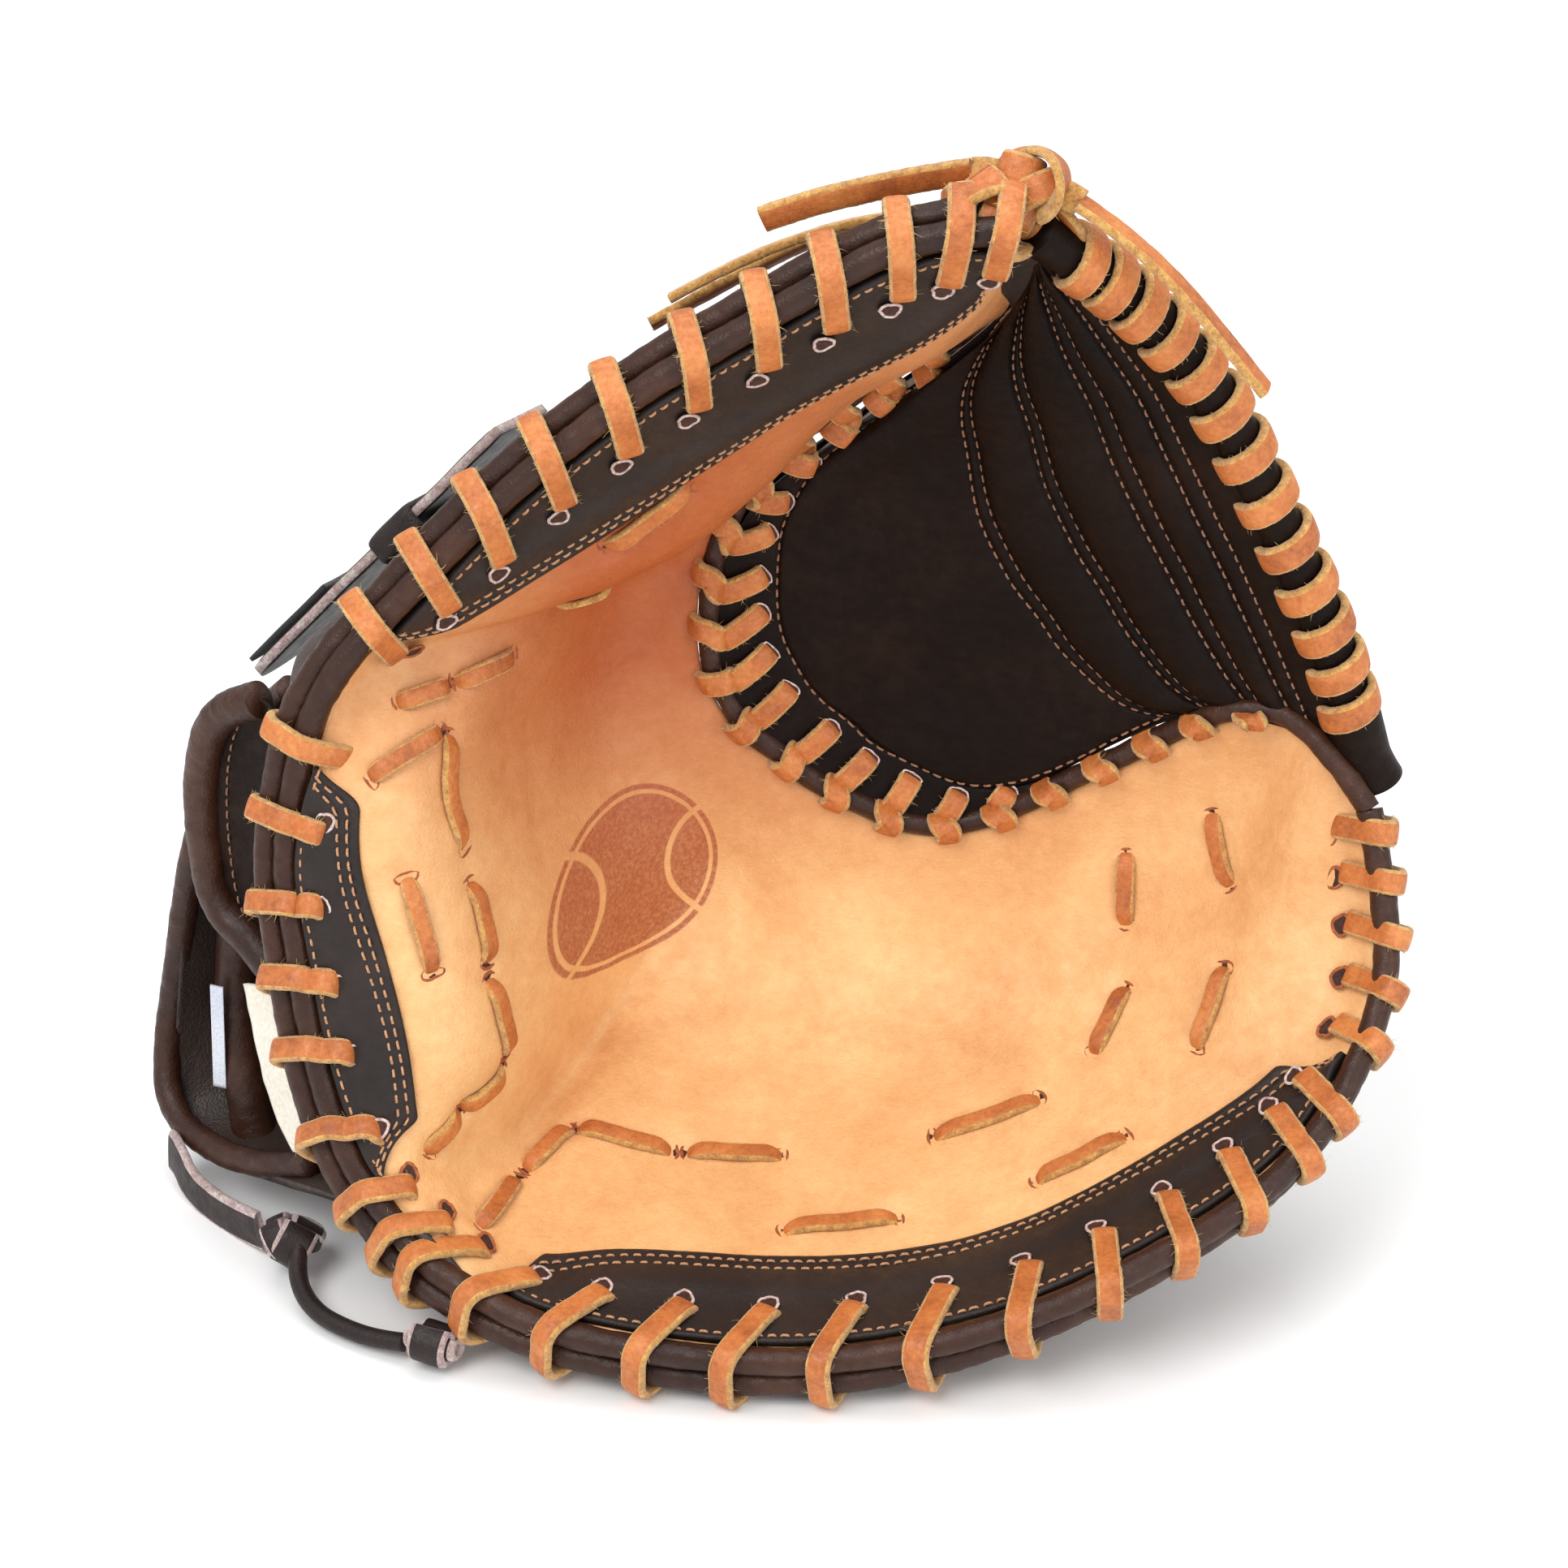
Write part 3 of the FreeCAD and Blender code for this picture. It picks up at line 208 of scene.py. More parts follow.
def raised(a, r, height):
    a, r = both(a, r)
    return front(a, r) - normal(front, a, r) * np.asarray(height)[..., None]


def lean(a, r):
    a, r = both(a, r)
    tip = np.clip((a - 13.5) / 3, 0, 1)
    angle = np.radians((52 - 44 * tip) * (1 - 0.85 * np.clip((r - 0.45) / 0.55, 0, None)))[..., None]
    radial = front(a, r * 0) - POCKET_CENTRE
    out = unit(radial - POCKET_AXIS * (radial @ POCKET_AXIS)[..., None])
    return unit(POCKET_AXIS * np.cos(angle) + out * np.sin(angle))


def behind(a, r, inset=0.0):
    p = front(a, r) + lean(a, r) * thickness(a, r)
    z = p[..., 2]
    p[..., 2] = np.where(z > 3, z, 3 * np.exp(np.minimum(z - 3, 0) / 3))
    return p - lean(a, r) * inset


def cuff_point(a, r):
    a, r = both(a, r)
    cuff = np.array(CUFF, float)
    columns = []
    for i in range(5):
        tail = behind(np.array([10.0, 11.0, 12.0]), ROW_PLACE[i] + np.zeros(3))
        column = np.concatenate([cuff[:, i], tail])
        columns.append(spline(np.arange(7.0), column, a + 4))
    return spline(ROW_PLACE, np.stack(columns), r)


def back_shell(a, r):
    a, r = both(a, r)
    mix = (a >= 11)[..., None]
    return np.where(mix, behind(np.maximum(a, 10), r), cuff_point(np.minimum(a, 12) - 10, r))


def rim_out(a):
    return unit(front(a, 0 * a) - front(a, 0 * a + 0.06))


def palm_rim(a):
    a = np.asarray(a, float)
    return front(a, 0 * a) + rim_out(a) * (BIND + 0.5) + normal(front, a, 0 * a) * (PALM / 2)


def back_rim(a):
    a = np.asarray(a, float)
    return palm_rim(a) + lean(a, 0 * a) * (2 * BIND + 0.5)


def web_rim(a):
    a = np.asarray(a, float)
    inward = unit(front(a, 0 * a + 1) - front(a, 0 * a + 0.94))
    return front(a, 0 * a + 1) + inward * (WEB_BIND + 0.5) + normal(front, a, 0 * a + 1) * (PALM / 2)


def web_edge(a):
    p = front(a, 0 * np.asarray(a, float) + 1)
    return p + unit(WEB_MIDDLE - p) * WEB_SETBACK


def top_edge(t):
    return spline(np.arange(6.0), WEB_TOP, np.asarray(t, float) * 5)


def web_front(s, v):
    s, v = both(s, v)
    left, right = web_edge(WEB_CORNER * s), top_edge(s)
    start, end = web_edge(np.array([0.0, WEB_CORNER]))
    top_start, top_end = np.array(WEB_TOP[0], float), np.array(WEB_TOP[-1], float)
    S, V = s[..., None], v[..., None]
    upper = start * (1 - V) + top_start * V
    lower = web_edge(WEB_CORNER + (LAST - WEB_CORNER) * v)
    lower = lower * (1 - V**6) + top_end * V**6
    flat = left * (1 - V) + right * V + upper * (1 - S) + lower * S
    flat = flat - (start * (1 - V) + top_start * V) * (1 - S) - (end * (1 - V) + top_end * V) * S
    return flat + POCKET_AXIS * (WEB_BULGE * 16 * S * (1 - S) * V * (1 - V))


def web_behind(s, v, depth):
    s, v = both(s, v)
    return web_front(s, v) + unit(spline(np.arange(5.0), WEB_BACKWARD, 4 * s)) * np.asarray(depth)[..., None]


# ---------------------------------------------------------------- meshes
def new_object(name, vertices, faces, materials, material_index=None):
    """A mesh object from points in millimetres."""
    mesh = bpy.data.meshes.new(name)
    mesh.from_pydata(mm(vertices).tolist(), [], faces if isinstance(faces, list) else faces.tolist())
    for material in materials:
        mesh.materials.append(material)
    if material_index is not None:
        mesh.polygons.foreach_set("material_index", np.asarray(material_index, np.int32))
    mesh.polygons.foreach_set("use_smooth", np.full(len(mesh.polygons), True))
    mesh.update()
    obj = bpy.data.objects.new(name, mesh)
    bpy.context.collection.objects.link(obj)
    return obj


def mitt(obj, slot, *nodes):
    """A leather piece that crosses the break, has its placement baked into its mesh and stands for CAD nodes."""
    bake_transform(obj)
    if nodes:
        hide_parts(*nodes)
    return obj


def settle(obj, body, slot, *nodes):
    """A piece that moves with one body and stands for CAD nodes."""
    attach(obj, body)
    if nodes:
        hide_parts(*nodes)
    return obj


def quads(rows, columns, offset=0, flip=False, wrap=False):
    """Faces of a grid of rows by columns points; wrap joins the last row to the first."""
    i = np.arange(rows if wrap else rows - 1)[:, None]
    j = np.arange(columns - 1)[None, :]
    nxt = (i + 1) % rows
    a, b, c, d = i * columns + j, i * columns + j + 1, nxt * columns + j + 1, nxt * columns + j
    return np.stack([a, b, c, d] if not flip else [d, c, b, a], -1).reshape(-1, 4) + offset


def thick_sheet(name, outer, inner, materials):
    """A closed sheet between two grids (rows, columns, 3)."""
    rows, columns = outer.shape[:2]
    count = rows * columns
    faces = [quads(rows, columns, flip=True), quads(rows, columns, count)]
    grid = np.arange(count).reshape(rows, columns)
    for line, flip in ((grid[0], False), (grid[-1], True), (grid[:, 0], True), (grid[:, -1], False)):
        a, b = line[:-1], line[1:]
        faces.append(np.stack([a, b, b + count, a + count] if not flip else [b, a, a + count, b + count], -1))
    points = np.concatenate([outer.reshape(-1, 3), inner.reshape(-1, 3)])
    return new_object(name, points, np.concatenate(faces), materials)


def frames_along(path, side):
    """Tangents, and a side direction kept square to them."""
    along = unit(np.gradient(path, axis=0))
    side = np.broadcast_to(side, path.shape)
    side = unit(side - along * (side * along).sum(-1, keepdims=True))
    return along, side, np.cross(along, side)


def tube_points(path, radius, around=18, side=(0, 0, 1.0)):
    """Rings of points around a path. radius is one number or (len(path), around)."""
    _, one, two = frames_along(path, np.array(side, float))
    turn = np.linspace(0, 2 * np.pi, around, endpoint=False)
    radius = np.broadcast_to(np.asarray(radius, float), (len(path), around))[..., None]
    ring = np.cos(turn)[None, :, None] * one[:, None] + np.sin(turn)[None, :, None] * two[:, None]
    return path[:, None] + ring * radius


def tube_mesh(name, path, radius, materials, around=18, side=(0, 0, 1.0)):
    points = tube_points(path, radius, around, side)
    count = len(path)
    faces = quads(around, count, wrap=True).tolist()
    faces.append([k * count for k in range(around)])
    faces.append([k * count + count - 1 for k in reversed(range(around))])
    return new_object(name, points.transpose(1, 0, 2).reshape(-1, 3), faces, materials)


# ---------------------------------------------------------------- materials
def colour(hexes):
    """A linear colour from an sRGB hex string."""
    rgb = [int(hexes[i : i + 2], 16) / 255 for i in (0, 2, 4)]
    return [c / 12.92 if c <= 0.04045 else ((c + 0.055) / 1.055) ** 2.4 for c in rgb] + [1.0]


class Shader:
    """A Principled material with helpers that add and link nodes."""

    def __init__(self, name, **constants):
        self.material = bpy.data.materials.new(name)
        self.material.use_nodes = True
        self.tree = self.material.node_tree
        self.bsdf = self.tree.nodes["Principled BSDF"]
        for key, value in constants.items():
            self.bsdf.inputs[key.replace("_", " ")].default_value = value
        self.place = self.node("ShaderNodeTexCoord").outputs["Object"]

    def node(self, kind, settings=None, **inputs):
        made = self.tree.nodes.new(kind)
        for key, value in (settings or {}).items():
            setattr(made, key, value)
        for key, value in inputs.items():
            numbered = key[0] == "i" and key[1:].isdigit()
            self.put(value, made.inputs[int(key[1:]) if numbered else key.replace("_", " ")])
        return made

    def put(self, value, socket):
        if isinstance(value, bpy.types.NodeSocket):
            self.tree.links.new(value, socket)
        else:
            socket.default_value = value

    def noise(self, scale, detail=3.0, roughness=0.55, distortion=0.0, place=None):
        options = {"Scale": scale, "Detail": detail, "Roughness": roughness, "Distortion": distortion}
        return self.node("ShaderNodeTexNoise", Vector=place or self.place, **options).outputs["Fac"]

    def cells(self, scale):
        return self.node("ShaderNodeTexVoronoi", Vector=self.place, Scale=scale).outputs["Distance"]

    def ramp(self, value, *stops):
        """stops are (position, sRGB hex colour)."""
        made = self.node("ShaderNodeValToRGB", Fac=value)
        elements = made.color_ramp.elements
        while len(elements) < len(stops):
            elements.new(0.5)
        for element, (position, tint) in zip(elements, stops):
            element.position, element.color = position, colour(tint)
        return made.outputs["Color"]

    def span(self, value, low, high, to_low=0.0, to_high=1.0):
        made = self.node("ShaderNodeMapRange", Value=value)
        for key, number in zip(("From Min", "From Max", "To Min", "To Max"), (low, high, to_low, to_high)):
            made.inputs[key].default_value = number
        return made.outputs["Result"]

    def mix(self, share, first, second, blend="MIX"):
        made = self.node("ShaderNodeMix", {"data_type": "RGBA", "blend_type": blend})
        for number, value in ((0, share), (6, first), (7, second)):
            self.put(value, made.inputs[number])
        return made.outputs[2]

    def shade(self, share, tint, grey):
        """The colour, darkened by a grey value."""
        greys = self.node("ShaderNodeCombineColor", Red=grey, Green=grey, Blue=grey).outputs[0]
        return self.mix(share, tint, greys, "MULTIPLY")

    def together(self, first, second, share):
        """Two patterns added, share of the first and the rest of the second."""
        return self.math("ADD", self.math("MULTIPLY", first, share), self.math("MULTIPLY", second, 1 - share))

    def far(self, x, y):
        squares = self.math("ADD", self.math("POWER", x, 2.0), self.math("POWER", y, 2.0))
        return self.math("SQRT", squares, 0.0)

    def math(self, operation, first, second):
        return self.node("ShaderNodeMath", {"operation": operation}, i0=first, i1=second).outputs[0]

    def bump(self, *layers):
        """Each layer is (height, distance in metres, strength)."""
        last = None
        for height, distance, strength in layers:
            made = self.node("ShaderNodeBump", Height=height, Distance=distance, Strength=strength)
            if last is not None:
                self.tree.links.new(last, made.inputs["Normal"])
            last = made.outputs["Normal"]
        self.tree.links.new(last, self.bsdf.inputs["Normal"])

    def feed(self, **sockets):
        for key, value in sockets.items():
            self.tree.links.new(value, self.bsdf.inputs[key.replace("_", " ")])


STAMP = mm(front(8.92, 0.795))
STAMP_DISC, STAMP_RING, SEAM_APART, SEAM_BEND = 0.0224, 0.0205, 0.024, 0.0155


def palm_marks_and_pocket_shade(m, tint):
    """The palm's marks and painted shade: a darker, redder pocket painted as shade and reflected light, fine
    hairs, and a stamped ball with two seams.
    """
    at = m.node("ShaderNodeSeparateXYZ", Vector=m.place).outputs
    # deep is painted shade and painted reflected light: the inner pocket darkened and reddened by its place.
    deep = m.math("MULTIPLY", m.span(at["Y"], -0.055, 0.02), m.span(at["Z"], 0.065, 0.14))
    deep = m.math("MULTIPLY", deep, m.span(at["X"], 0.11, -0.02, 0.25, 1.0))
    deep = m.math("MULTIPLY", deep, m.span(at["X"], -0.1, -0.045, 0.3, 1.0))
    tint = m.mix(m.math("MULTIPLY", deep, 0.95), tint, colour("bd7850"), "MULTIPLY")
    hairs = m.node("ShaderNodeMapping", Vector=m.place, Scale=(1.0, 1.0, 5.0)).outputs[0]
    seen = m.node("ShaderNodeVectorMath", {"operation": "SUBTRACT"}, i0=m.place, i1=tuple(STAMP)).outputs[0]
    axes = m.node("ShaderNodeSeparateXYZ", Vector=seen).outputs
    across, rise = m.math("MULTIPLY", axes["X"], 1.05), m.math("MULTIPLY", axes["Z"], 0.92)
    far = m.far(across, rise)
    disc = m.span(far, STAMP_DISC - 0.0002, STAMP_DISC + 0.0002, 1.0, 0.0)
    for side in (-SEAM_APART, SEAM_APART):
        off = m.math("SUBTRACT", m.far(m.math("ADD", across, side), rise), SEAM_BEND)
        line = m.span(m.math("ABSOLUTE", off, 0.0), 0.0006, 0.0010, 0.0, 1.0)
        disc = m.math("MULTIPLY", disc, line)
    off = m.math("ABSOLUTE", m.math("SUBTRACT", far, STAMP_RING), 0.0)
    disc = m.math("MULTIPLY", disc, m.span(off, 0.0004, 0.0007, 0.0, 1.0))
    disc = m.math("MULTIPLY", disc, m.span(m.noise(900, 3, 0.6), 0.3, 0.6, 0.55, 0.85))
    tint = m.mix(disc, tint, colour("a04828"))
    return m.shade(0.8, tint, m.span(m.noise(620, 4, 0.7, 0.3, hairs), 0.3, 0.7, 0.9, 1.05))


def leather(name, tints, rough, grain=0.00025, creases=0.0006, blotch=26, extra=None, shine=0.5):
    """Smooth oiled leather: cloudy colour, pores and fine creases. extra adds a piece's own marks and any painted
    shade.
    """
    m = Shader(name, Specular_IOR_Level=shine)
    cloud, mottle, pores = m.noise(blotch, 4, 0.6, 0.4), m.noise(260, 4, 0.65), m.cells(1500)
    tint = m.ramp(m.together(cloud, mottle, 0.7), *zip((0.34, 0.5, 0.66), tints))
    tint = m.shade(0.55, tint, m.span(pores, 0.0, 0.35, 0.86, 1.0))
    if extra is not None:
        tint = extra(m, tint)
    m.feed(Base_Color=tint, Roughness=m.span(mottle, 0.35, 0.65, rough[1], rough[0]))
    folds, pebbles = m.noise(95, 5, 0.6, 0.6), m.noise(900, 3, 0.6)
    m.bump((folds, creases, 0.5), (pebbles, grain, 0.55), (pores, grain * 0.7, 0.5))
    return m.material


# The tan palm's extra paints shade and reflected light into its pocket.
TAN = leather("tan_leather", ("dea065", "ecb478", "f5c78b"), (0.46, 0.62), blotch=22, extra=palm_marks_and_pocket_shade)
CHARCOAL = leather("patch_leather", ("1f1816", "281f1c", "332925"), (0.45, 0.6), grain=0.0002, shine=0.32)
PLUM = leather("binding_leather", ("27130b", "371d12", "4a2c1d"), (0.38, 0.54), 0.00022, 0.0009, shine=0.35)
WEB = leather("web_leather", ("0b0402", "130703", "1e0f07"), (0.45, 0.58), grain=0.0002, shine=0.13)
STRAP = leather("strap_leather", ("1c1614", "241d1a", "2f2622"), (0.45, 0.58), shine=0.3)
DARK_LACE = leather("dark_lace", ("1c1312", "261b1a", "332624"), (0.42, 0.56), shine=0.32)
FLAP_LEATHER = leather("flap_leather", ("120b08", "1c120e", "2a1d17"), (0.5, 0.62), grain=0.0003, shine=0.12)
HIDE = leather("back_leather", ("2a1f1b", "352822", "46362e"), (0.45, 0.6), grain=0.0004)


def lace_face():
    m = Shader("lace_face")
    cloud, mottle = m.noise(60, 4, 0.6), m.noise(700, 4, 0.7)
    tint = m.ramp(m.together(cloud, mottle, 0.6), (0.36, "9a5226"), (0.5, "bd6c34"), (0.64, "d28648"))
    m.feed(Base_Color=tint, Roughness=m.span(mottle, 0.35, 0.65, 0.62, 0.42))
    m.bump((m.noise(420, 4, 0.6), 0.0003, 0.45), (m.cells(1600), 0.00015, 0.5))
    return m.material


def lace_flesh(name, *tints):
    """The rough, fuzzy side and the cut edges of a lace."""
    m = Shader(name, Sheen_Weight=0.35, Sheen_Roughness=0.6)
    fuzz, coarse = m.noise(1500, 5, 0.75), m.noise(420, 3, 0.6)
    tint = m.ramp(m.together(fuzz, coarse, 0.55), *zip((0.36, 0.5, 0.64), tints))
    m.feed(Base_Color=tint, Roughness=m.span(fuzz, 0.3, 0.7, 0.95, 0.75))
    m.bump((fuzz, 0.0006, 0.9), (coarse, 0.0008, 0.6))
    return m.material


def cloth_material(name, dark, light, scale=900):
    m = Shader(name, Sheen_Weight=0.4)
    weave, cloud = m.noise(scale, 3, 0.6), m.noise(40, 3)
    tint = m.ramp(m.together(weave, cloud, 0.5), (0.35, dark), (0.65, light))
    m.feed(Base_Color=tint, Roughness=m.span(weave, 0, 1, 0.95, 0.75))
    m.bump((weave, 0.0005, 0.7))
    return m.material


def plain_material(
    name, dark, light, scale=900, detail=(3, 0.6), spread=(0.3, 0.7), rough=(0.8, 0.65),
    lift=0.0004, sheen=0.0,
):
    """One fine pattern between two colours."""
    m = Shader(name, Sheen_Weight=sheen)
    mottle = m.noise(scale, *detail)
    tint = m.ramp(mottle, (spread[0], dark), (spread[1], light))
    m.feed(Base_Color=tint, Roughness=m.span(mottle, 0, 1, *rough))
    m.bump((mottle, lift, 0.6))
    return m.material


def thread_material(name, dark, light):
    return plain_material(name, dark, light, 2600, (2, 0.5), (0.35, 0.65), (0.7, 0.5), 0.0002, 0.3)


LACE = [lace_face(), lace_flesh("lace_flesh", "9a6628", "cf9440", "ecc068")]
PALE_EDGE = lace_flesh("pale_edge", "8a6a66", "b79c98", "e8dcd8")
THREAD = thread_material("copper_thread", "9c6a44", "cf9a6c")
THREAD_DULL = thread_material("dull_thread", "6d4530", "a5714f")
LINING = cloth_material("lining", "cfc6b4", "efe9dc")
LABEL = cloth_material("label", "cdd3e2", "eef1f8", 1400)
TAPE = cloth_material("tape", "101010", "262626", 2200)
FELT = cloth_material("lining_cloth", "b9ab92", "ddd2bd", 500)
# The holes' mouths are painted shade: a dark colour where a hole's depth would lie in shade.
HOLE_SHADE = plain_material("hole_painted_shade", "22100a", "4a2414")
RIM_PALE = plain_material("hole_lip_pale", "9a7a74", "e2cfc8")
RIM_TAN = plain_material("hole_lip_tan", "7c3c22", "b8683a")
FIBRE_MATERIAL = plain_material("fibre", "c89a50", "ecd290")

# ---------------------------------------------------------------- collecting small meshes
class Heap:
    """Gathers small meshes into one object."""

    def __init__(self):
        self.points, self.faces, self.index, self.count = [], [], [], 0

    def add(self, points, faces, index=0):
        points = np.asarray(points, float).reshape(-1, 3)
        self.points.append(points)
        self.faces += [[k + self.count for k in face] for face in faces]
        self.index += [index] * len(faces) if isinstance(index, int) else list(index)
        self.count += len(points)

    def rings(self, rings, faces=0, caps=True):
        """rings is (n, around, 3), a closed tube of any section; faces is a material for each side."""
        n, around = rings.shape[:2]
        body = quads(n, around, 0).tolist()
        starts = [i * around for i in range(n - 1)]
        last = [[i + around - 1, i, i + around, i + 2 * around - 1] for i in starts]
        per = list(faces) if not isinstance(faces, int) else [faces] * around
        index = [per[k] for _ in range(n - 1) for k in range(around - 1)] + [per[-1]] * (n - 1)
        ends = [list(range(around)), [(n - 1) * around + k for k in reversed(range(around))]] if caps else []
        self.add(rings, body + last + ends, index + [max(per)] * len(ends))

    def make(self, name, materials):
        return new_object(name, np.concatenate(self.points), self.faces, materials, self.index)


def even(path, step=None, count=None):
    """A path's points again, evenly spaced."""
    run = run_along(path)
    count = count or max(2, int(run[-1] / step) + 1)
    place = np.linspace(0, run[-1], count)
    return np.stack([np.interp(place, run, path[:, k]) for k in range(3)], 1)


def smooth_path(points, count):
    """A smooth line through a few points."""
    points = np.asarray(points, float)
    knots = np.concatenate([[0], np.cumsum(np.linalg.norm(np.diff(points, axis=0), axis=1) ** 0.75)])
    return spline(knots, points, np.linspace(0, knots[-1], count))


def wrinkle(points, scale, seed=0.0):
    """Smooth noise from -1 to 1 at points in millimetres; scale is a feature's size."""
    flat = points.reshape(-1, 3) / scale + seed
    return np.array([noise.noise(Vector(p)) for p in flat.tolist()]).reshape(points.shape[:-1])


def grid(a_low, a_high, columns, r_low, r_high, rows):
    return np.meshgrid(np.linspace(a_low, a_high, columns), np.linspace(r_low, r_high, rows))


def stitch_row(heap, path, up, pitch=3.3, length=2.55, radius=0.34):
    """Short thread stitches along a path; each one dips into the leather at its ends."""
    run = run_along(path)
    count = int(run[-1] / pitch)
    if count < 1:
        return

    def at(table, place):
        return np.stack([np.interp(place, run, table[:, k]) for k in range(3)], 1)

    middle = (np.arange(count) + 0.5) * run[-1] / count + rng.normal(0, 0.08, count)
    size = length * rng.uniform(0.9, 1.08, count)
    along = unit(at(path, middle + 0.8) - at(path, middle - 0.8) + rng.normal(0, 0.05, (count, 3)))
    top = unit(at(up, middle))
    side = unit(np.cross(along, top))
    x = np.linspace(-0.5, 0.5, 7)
    lift = 0.22 - 0.62 * (2 * x) ** 4
    thick = radius * np.sqrt(np.clip(1.08 - (2 * x) ** 6, 0.08, 1))
    turn = np.linspace(0, 2 * np.pi, 6, endpoint=False)
    centre = at(path, middle)[:, None] + along[:, None] * (x[None, :, None] * size[:, None, None])
    centre = centre + top[:, None] * lift[None, :, None]
    ring = hoop(side[:, None, None], top[:, None, None], turn[None, None, :, None])
    points = centre[:, :, None] + ring * thick[None, :, None, None]
    for one in points:
        heap.rings(one)


def torn_hole(heap, centre, up, long_way, length, width, rim, inside, wall=0.45):
    """A punched hole: a dark mouth of painted shade and a slightly raised, uneven lip."""
    up = unit(np.asarray(up, float))
    one = unit(long_way - up * (long_way @ up))
    two = np.cross(up, one)
    turn = np.linspace(0, 2 * np.pi, 22, endpoint=False)
    ragged = 1 + 0.10 * np.sin(turn * 3 + rng.uniform(0, 6)) + rng.normal(0, 0.035, len(turn))
    flat = (np.cos(turn) * length / 2 * ragged)[:, None] * one
    flat = flat + (np.sin(turn) * width / 2 * ragged)[:, None] * two
    n = len(turn)
    # The mouth is a dark disc of painted shade laid over the unbroken leather.
    mouth = np.vstack([centre + up * 0.12 + flat * 0.98, [centre + up * 0.02]])
    heap.add(mouth, [[k, (k + 1) % n, n] for k in range(n)], inside)
    small = np.linspace(0, 2 * np.pi, 7, endpoint=False)
    out = unit(flat)
    lift = 0.75 * np.sin(small)[None, :, None] * up
    lip = flat[:, None] + wall * (np.cos(small)[None, :, None] * out[:, None] + lift)
    lip = centre + lip + up * 0.05
    faces = []
    for i in range(n):
        for j in range(7):
            faces.append([i * 7 + j, ((i + 1) % n) * 7 + j, ((i + 1) % n) * 7 + (j + 1) % 7, i * 7 + (j + 1) % 7])
    heap.add(lip, faces, rim)


FIBRES = Heap()


def fibre(start, way, length):
    """One stray leather fibre."""
    bend = rng.normal(0, 0.45, 3)
    t = np.linspace(0, 1, 4)[:, None]
    path = start + way * length * t + bend * length * t**2
    one = unit(np.cross(way, [0.3, 0.2, 0.9]))
    two = np.cross(unit(way), one)
    turn = np.linspace(0, 2 * np.pi, 3, endpoint=False)
    ring = np.cos(turn)[:, None] * one + np.sin(turn)[:, None] * two
    FIBRES.rings(path[:, None] + ring[None] * (0.07 * (1 - 0.7 * t))[:, None], caps=False)


def ribbon(heap, path, across, width=LACE_W, thick=LACE_T, taper_ends=0.0, fuzz=0.0):
    """A flat lace along a path: a smooth slightly domed face and thick, rough cut edges."""
    seed = rng.uniform(0, 99)
    count = len(path)
    along = unit(np.gradient(path, axis=0))
    across = np.broadcast_to(across, path.shape)
    across = unit(across - along * (across * along).sum(-1, keepdims=True))
    up = np.cross(along, across)
    w, t = width / 2, thick / 2
    half = [(-0.78, 1.0), (-0.5, 1.1), (-0.2, 1.14), (0.2, 1.14), (0.5, 1.1), (0.78, 1.0)]
    half += [(0.93, 0.78), (1.02, 0.3), (1.02, -0.35), (0.99, -0.85), (0.6, -1.0), (0.2, -1.0)]
    half += [(-0.2, -1.0), (-0.6, -1.0), (-0.99, -0.85), (-1.02, -0.35), (-1.02, 0.3), (-0.93, 0.78)]
    shape = np.array(half) * np.array([w, t])
    grow = np.ones(count)
    if taper_ends:
        edge = np.minimum(np.arange(count), np.arange(count)[::-1]) / (count - 1)
        grow = 0.55 + 0.45 * np.clip(edge / taper_ends, 0, 1) ** 0.6
    rings = path[:, None] + shape[None, :, :1] * grow[:, None, None] * across[:, None]
    rings = rings + shape[None, :, 1:] * up[:, None]
    rough = np.array([0.03] * 6 + [0.08, 0.16, 0.16, 0.1] + [0.08] * 4 + [0.1, 0.16, 0.16, 0.08])
    rings = rings + (wrinkle(rings, 0.8, seed) * rough)[..., None] * (across + up)[:, None]
    rings = rings + (wrinkle(rings, 3.5, seed + 40) * 0.12)[..., None] * up[:, None]
    heap.rings(rings, [0] * 5 + [1] * 13)
    if fuzz:
        for _ in range(int(fuzz * length_of(path))):
            i, side = rng.integers(0, count), rng.choice([-1, 1])
            start = path[i] + across[i] * side * w * grow[i] + up[i] * t * rng.uniform(-0.8, 0.9)
            way = unit(across[i] * side + up[i] * rng.uniform(-0.5, 0.9) + along[i] * rng.normal(0, 0.6))
            fibre(start, way, rng.uniform(0.5, 1.5))


# ---------------------------------------------------------------- free lace ends and the wrist cord
# The routes are the drawing's own, in millimetres; each is a NURBS spline with these points as its controls.
TAILS = {
    "lace_tail_right": [(66, 66, 284), (77, 64, 277), (90, 62, 265), (101, 61, 252), (110, 60, 241)],
    "lace_tail_upper": [(43, 78, 287), (32, 82, 284), (18, 85, 280), (5, 87, 276), (-5, 88, 272)],
    "lace_tail_lower": [(30, 104, 268), (16, 104, 266), (0, 103, 261), (-14, 102, 255), (-27, 101, 248)],
    "lace_tail_back": [(22, 114, 262), (9, 114, 259), (-6, 112, 252), (-20, 110, 245), (-32, 107, 239)],
}
WRIST_CORD = [
    (-123.6, 50, 11),
    (-124, 45, 8),
    (-122, 38, 5),
    (-117, 30.5, 3.9),
    (-110, 25, 3.7),
    (-101.5, 20, 4),
    (-94, 17, 5.2),
]
CUFF_LACE = [(-161, 93, 10), (-157, 85, 6.2), (-150, 77, 5), (-142, 69, 5.4), (-135, 62, 7)]


